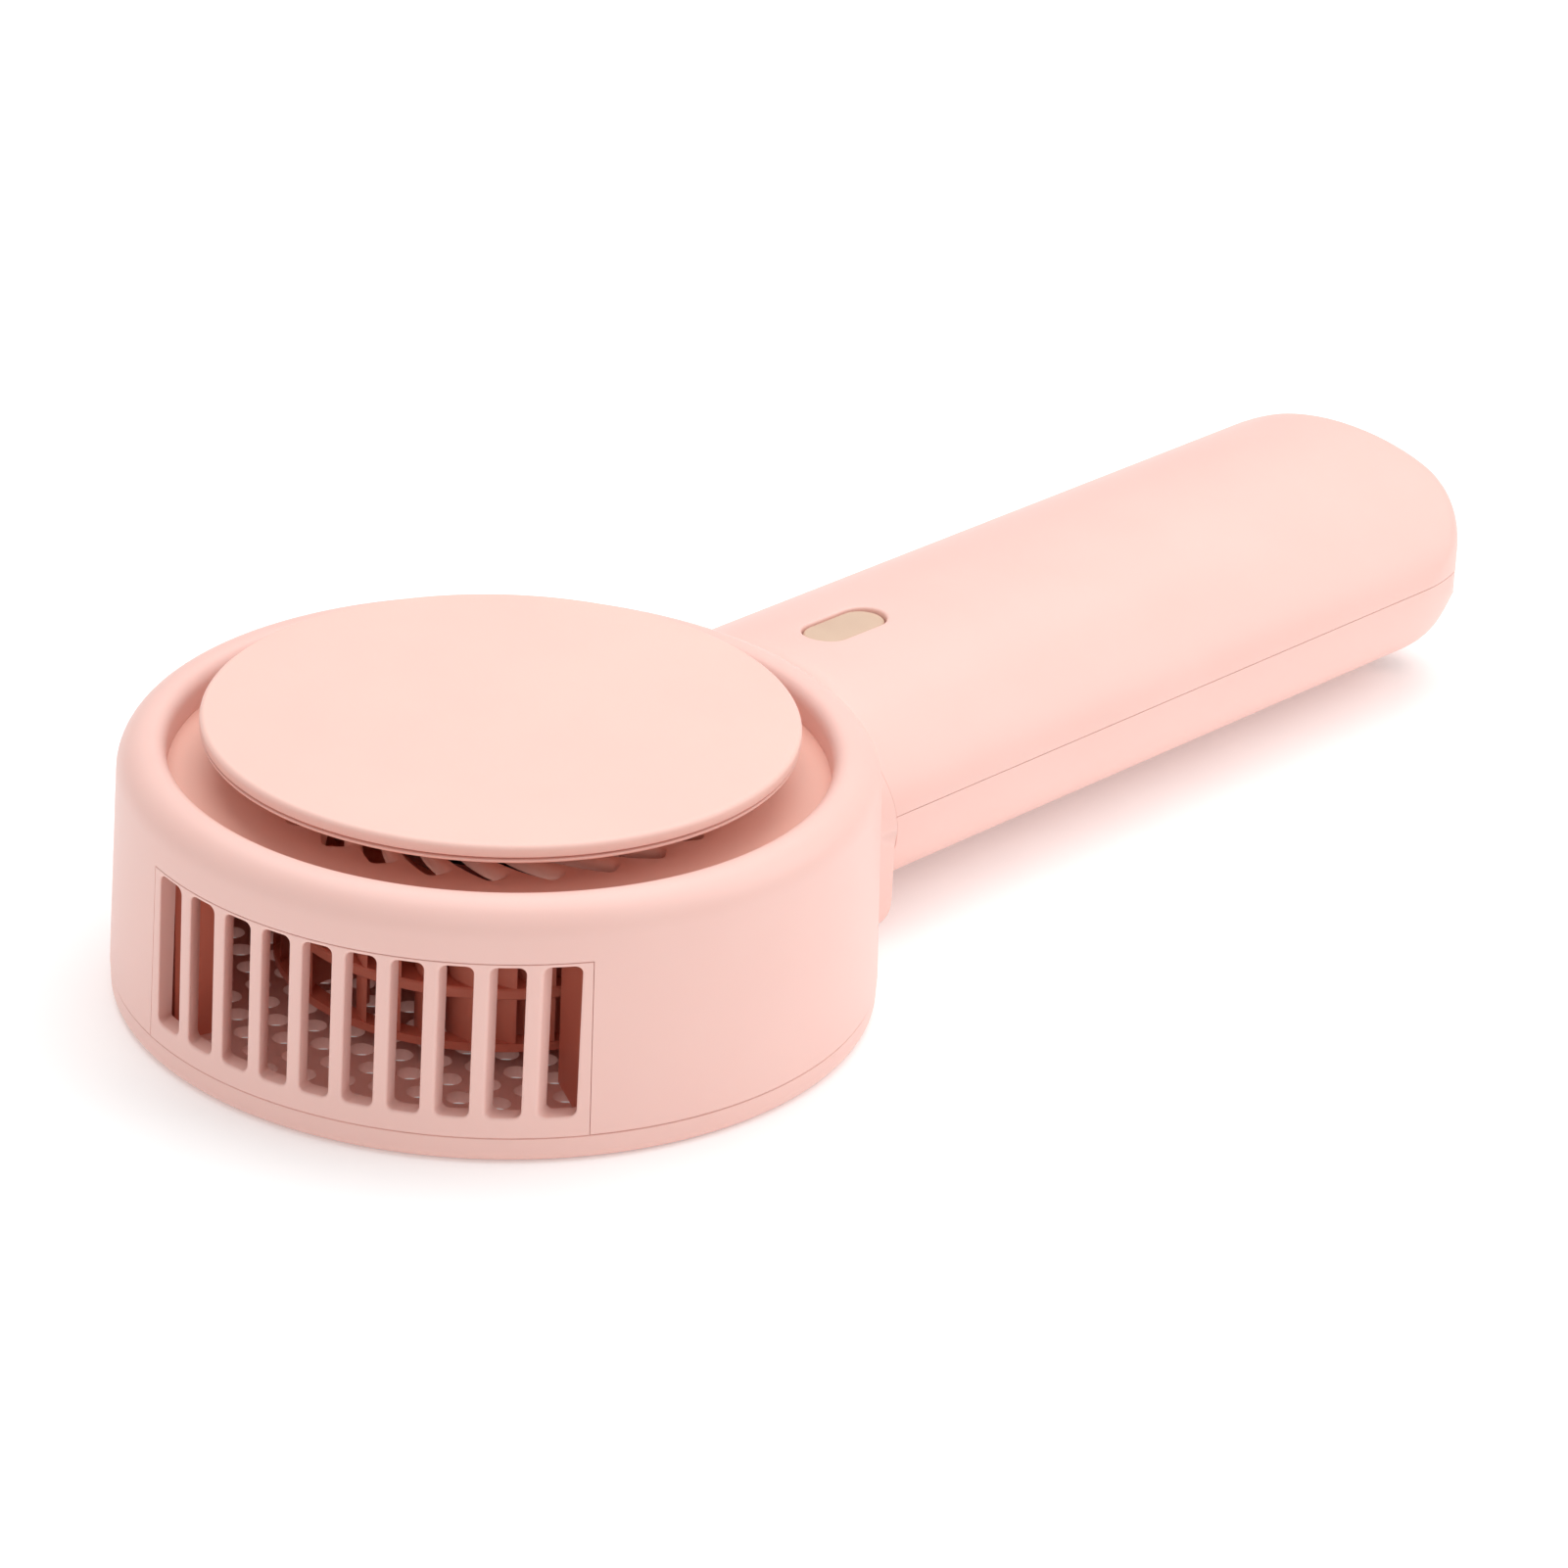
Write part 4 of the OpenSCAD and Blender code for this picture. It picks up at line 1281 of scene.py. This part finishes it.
    def button(self) -> None:
        """The push button, with a flange that holds it under the upper shell."""
        low, flange, top = 24.1, 1.2, self.height - 0.4
        half_l, half_w = self.button_l / 2, self.button_w / 2
        bend, crown, wide = 0.35, 0.12, 1.1
        steps = [(wide, 0.0), (wide, flange), (0.0, flange)]
        steps += [(-bend * (1 - math.cos(t)), top - crown - low - bend * (1 - math.sin(t)))
                  for t in spread(0, math.pi / 2, 5)]
        skin = Skin()

        def outline(grow: float) -> list[Flat]:
            """The button's outline in X and Y."""
            return self.stadium(half_l + grow, half_w + grow, 8)

        rings = [skin.ring([(x, y, low + z) for x, y in outline(g)]) for g, z in steps]
        skin.stack(rings)

        def crowned(x: float, y: float) -> Solid:
            """A point of the slightly domed top."""
            return x, y, top - crown * min(1.0, off(x, y)) ** 2

        def off(x: float, y: float) -> float:
            """How far a point is from the middle line, 1 at the top's edge."""
            over = max(0.0, abs(x - self.button_x) - half_l + half_w)
            return math.hypot(over, y - self.button_y) / (half_w - bend)

        skin.cap([outline(-bend)], [rings[-1]],
                 [(self.button_x + x, self.button_y + y)
                  for x in spread(0.9 - half_l, half_l - 0.9, 16)
                  for y in spread(0.8 - half_w, half_w - 0.8, 8)
                  if off(self.button_x + x, self.button_y + y) < 0.93], crowned)
        skin.cap([outline(wide)], [rings[0]], [], lambda x, y: (x, y, low))
        dress(mesh_object("push_button", skin.shape()), BEIGE, Body.KEY, ["button"])


def resample(path: Sequence[Flat], parts: int) -> list[Flat]:
    """Points at equal distances along a path.

    Args:
        path: the path's own points.
        parts: number of steps along it.

    Returns:
        parts + 1 points, from the path's first to its last.
    """
    run = [0.0]
    for a, b in zip(path, path[1:]):
        run.append(run[-1] + math.dist(a, b))
    points, k = [], 0
    for want in spread(0, run[-1], parts):
        while k < len(run) - 2 and run[k + 1] < want:
            k += 1
        gap = max(run[k + 1] - run[k], 1e-12)
        t = min(1.0, (want - run[k]) / gap)
        points.append(tuple(path[k][n] + (path[k + 1][n] - path[k][n]) * t for n in range(2)))
    points[-1] = tuple(path[-1])
    return points


# ---------------------------------------------------------------- rotor and fixings


@dataclass
class Rotor:
    """The impeller: a middle plate, two rings and forward-curved blades."""

    radius: float = 26.0
    blades: int = 36
    low: float = 4.2
    high: float = 22.2
    plate_low: float = 10.8
    plate_high: float = 12.2
    bell_r: float = 11.9

    def build(self) -> None:
        """Builds the impeller as one closed mesh."""
        r, bell, low, high = self.radius, self.bell_r, self.plate_low, self.plate_high
        soft, collar, top = 0.2, self.bell_r + 1.2, self.plate_high + 6.6
        plate = lathe([(bell, low), (r - soft, low), (r, low + soft), (r, high - soft),
                       (r - soft, high), (collar, high), (collar, top), (bell, top)], 144)
        inside, tall = r - 2.2, 1
        rings = [lathe([(inside, z), (r, z), (r, z + tall), (inside, z + tall)], 144)
                 for z in (self.low, self.high - tall)]
        hub = mesh_object("impeller_wheel", joined(plate, *rings))
        blade = mesh_object("blade", prism(self.blade(), self.low + 0.5, self.high - 0.5))
        # The impeller is the body's pink plastic, darkened with painted shade.
        wheel_tree().apply(hub, PINK_PAINTED_SHADE, Count=self.blades, Blade=blade)
        bpy.data.objects.remove(blade)
        dress(hub, PINK_PAINTED_SHADE, Body.ROTOR, ["impeller"])

    def blade(self) -> list[Flat]:
        """Outline of one blade, curved forwards towards its tip."""
        root, tip, lean, thick = self.radius - 5, self.radius - 0.3, 9.0, 0.7
        front = []
        for s in spread(0, 1, 8):
            r, a = root + (tip - root) * s, math.radians(lean * s * s)
            front.append((r * math.cos(a), r * math.sin(a)))
        return front + [(x, y + thick) for x, y in reversed(front)]


@dataclass
class Fixings:
    """Every screw that can be seen from outside, with the heights where the heads end."""

    head: Head
    handle: Handle
    cover_z: float = 0.9
    grip_z: float = 6.98

    def build(self) -> None:
        """Builds the back cover's screws and the handle's."""
        tree = screw_tree()
        cover = points_object("cover_screws", self.head.screw_spots(self.cover_z))
        tree.apply(cover, ZINC, Shank=0.68 * MM, Length=6.5 * MM, Head=1.6 * MM,
                   Depth=0.7 * MM)
        dress(cover, ZINC, Body.HOUSING, ["back_cover_screws"])
        grip = points_object("grip_screws", self.handle.screw_spots(self.grip_z))
        tree.apply(grip, ZINC, Shank=0.8 * MM, Length=12 * MM, Head=1.85 * MM,
                   Depth=1.4 * MM)
        dress(grip, ZINC, Body.HOUSING, ["handle_screws"])


@dataclass
class Carried:
    """The CAD nodes that are shown as they are, each with its finish."""

    # The volute gets the darkened pink, which is painted shade for the inside of the drum.
    finishes: dict[str, Finish] = field(default_factory=lambda: {
        "volute": PINK_PAINTED_SHADE, "neck_screws": ZINC, "motor_base": ALLOY, "stator_core": STEEL,
        "stator_coils": COPPER, "motor_bearings": STEEL, "motor_screws": ZINC,
        "motor_leads": LEAD, "rotor_bell": STEEL, "rotor_magnets": MAGNET,
        "motor_shaft": STEEL, "shaft_clip": STEEL, "battery_cell": WRAP,
        "battery_pads": FOAM, "battery_leads": LEAD, "control_board": BOARD,
        "board_parts": BLACK, "power_switch": BLACK, "switch_plunger": BLACK,
        "usb_board": BOARD, "usb_socket": STEEL})

    def build(self) -> None:
        """Gives each node its finish."""
        for node, finish in self.finishes.items():
            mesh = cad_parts[node].data
            mesh.materials.clear()
            mesh.materials.append(finish.material())
            log.info("%s: CAD node finished in %s", node, finish.label)


# ---------------------------------------------------------------- studio


@dataclass
class Studio:
    """The floor, the lights and the camera.

    Places are in millimetres. A lamp has a name, a place, a side in metres and a power in
    watts. The camera's turn is given by the directions to its right, up and behind it.
    """

    eye: Solid = (-518.3, -512.6, 372.1)
    right: Solid = (0.6845, -0.7278, 0.0425)
    up: Solid = (0.2856, 0.3214, 0.9029)
    back: Solid = (-0.6708, -0.6059, 0.4278)
    lens: float = 159.5
    white: tuple[float, ...] = (1.0, 1.0, 1.0, 1.0)
    surround: float = 0.48
    floor_half: float = 6000.0
    floor_z: float = -0.02
    floor_glow: float = 0.17
    aim: Solid = (50.0, 0.0, 15.0)
    lamps: tuple[tuple[str, Solid, float, float], ...] = (
        ("key", (410, -430, 520), 0.6, 1.7), ("fill", (-500, -350, 560), 0.6, 0.35),
        ("top", (170, 140, 740), 0.8, 4.1))

    def build(self) -> None:
        """Builds the floor, the world, the lights and the camera."""
        self.floor()
        self.world()
        for name, place, size, power in self.lamps:
            self.lamp(name, place, size, power)
        self.camera()

    def floor(self) -> None:
        """A wide pale floor under the fan."""
        corners = [(x * self.floor_half, y * self.floor_half, self.floor_z)
                   for x, y in ((-1, -1), (1, -1), (1, 1), (-1, 1))]
        floor = mesh_object("floor", (corners, [[0, 1, 2, 3]]), tidy=False)
        paint = bpy.data.materials.new("floor")
        paint.use_nodes = True
        shader = paint.node_tree.nodes["Principled BSDF"]
        set_inputs(shader, {"Base Color": (0.94, 0.94, 0.94, 1.0), "Roughness": 0.9,
                            "Specular IOR Level": 0.1, "Emission Color": self.white,
                            "Emission Strength": self.floor_glow})
        floor.data.materials.append(paint)

    def world(self) -> None:
        """An even white surround."""
        world = bpy.data.worlds.new("surround")
        world.use_nodes = True
        sky = world.node_tree.nodes["Background"]
        set_inputs(sky, {"Color": self.white, "Strength": self.surround})
        bpy.context.scene.world = world

    def lamp(self, name: str, place: Solid, size: float, power: float) -> None:
        """A square soft light aimed at the middle of the fan.

        Args:
            name: its name.
            place: where it stands.
            size: its side in metres.
            power: its power in watts.
        """
        data = bpy.data.lights.new(name, "AREA")
        data.size = size
        data.energy = power
        lamp = bpy.data.objects.new(name, data)
        spot = Vector(place) * MM
        turn = (Vector(self.aim) * MM - spot).to_track_quat("-Z", "Y").to_matrix().to_4x4()
        lamp.matrix_world = Matrix.Translation(spot) @ turn
        bpy.context.scene.collection.objects.link(lamp)

    def camera(self) -> None:
        """The camera, a long lens that looks down on the outlet's side."""
        data = bpy.data.cameras.new("camera")
        data.lens = self.lens
        data.sensor_width = 36.0
        data.sensor_fit = "AUTO"
        data.clip_start, data.clip_end = 0.05, 20.0
        camera = bpy.data.objects.new("camera", data)
        turn = Matrix((self.right, self.up, self.back)).transposed().to_4x4()
        camera.matrix_world = Matrix.Translation(Vector(self.eye) * MM) @ turn
        bpy.context.scene.collection.objects.link(camera)
        bpy.context.scene.camera = camera
        bpy.context.scene.view_settings.view_transform = "Standard"


def main() -> None:
    """Builds the fan and the studio."""
    logging.basicConfig(level=logging.INFO, format="%(name)s: %(message)s")
    head = Head()
    head.build()
    handle = Handle()
    handle.build()
    Rotor().build()
    Fixings(head, handle).build()
    Carried().build()
    Studio().build()


if __name__ == "__main__":
    main()
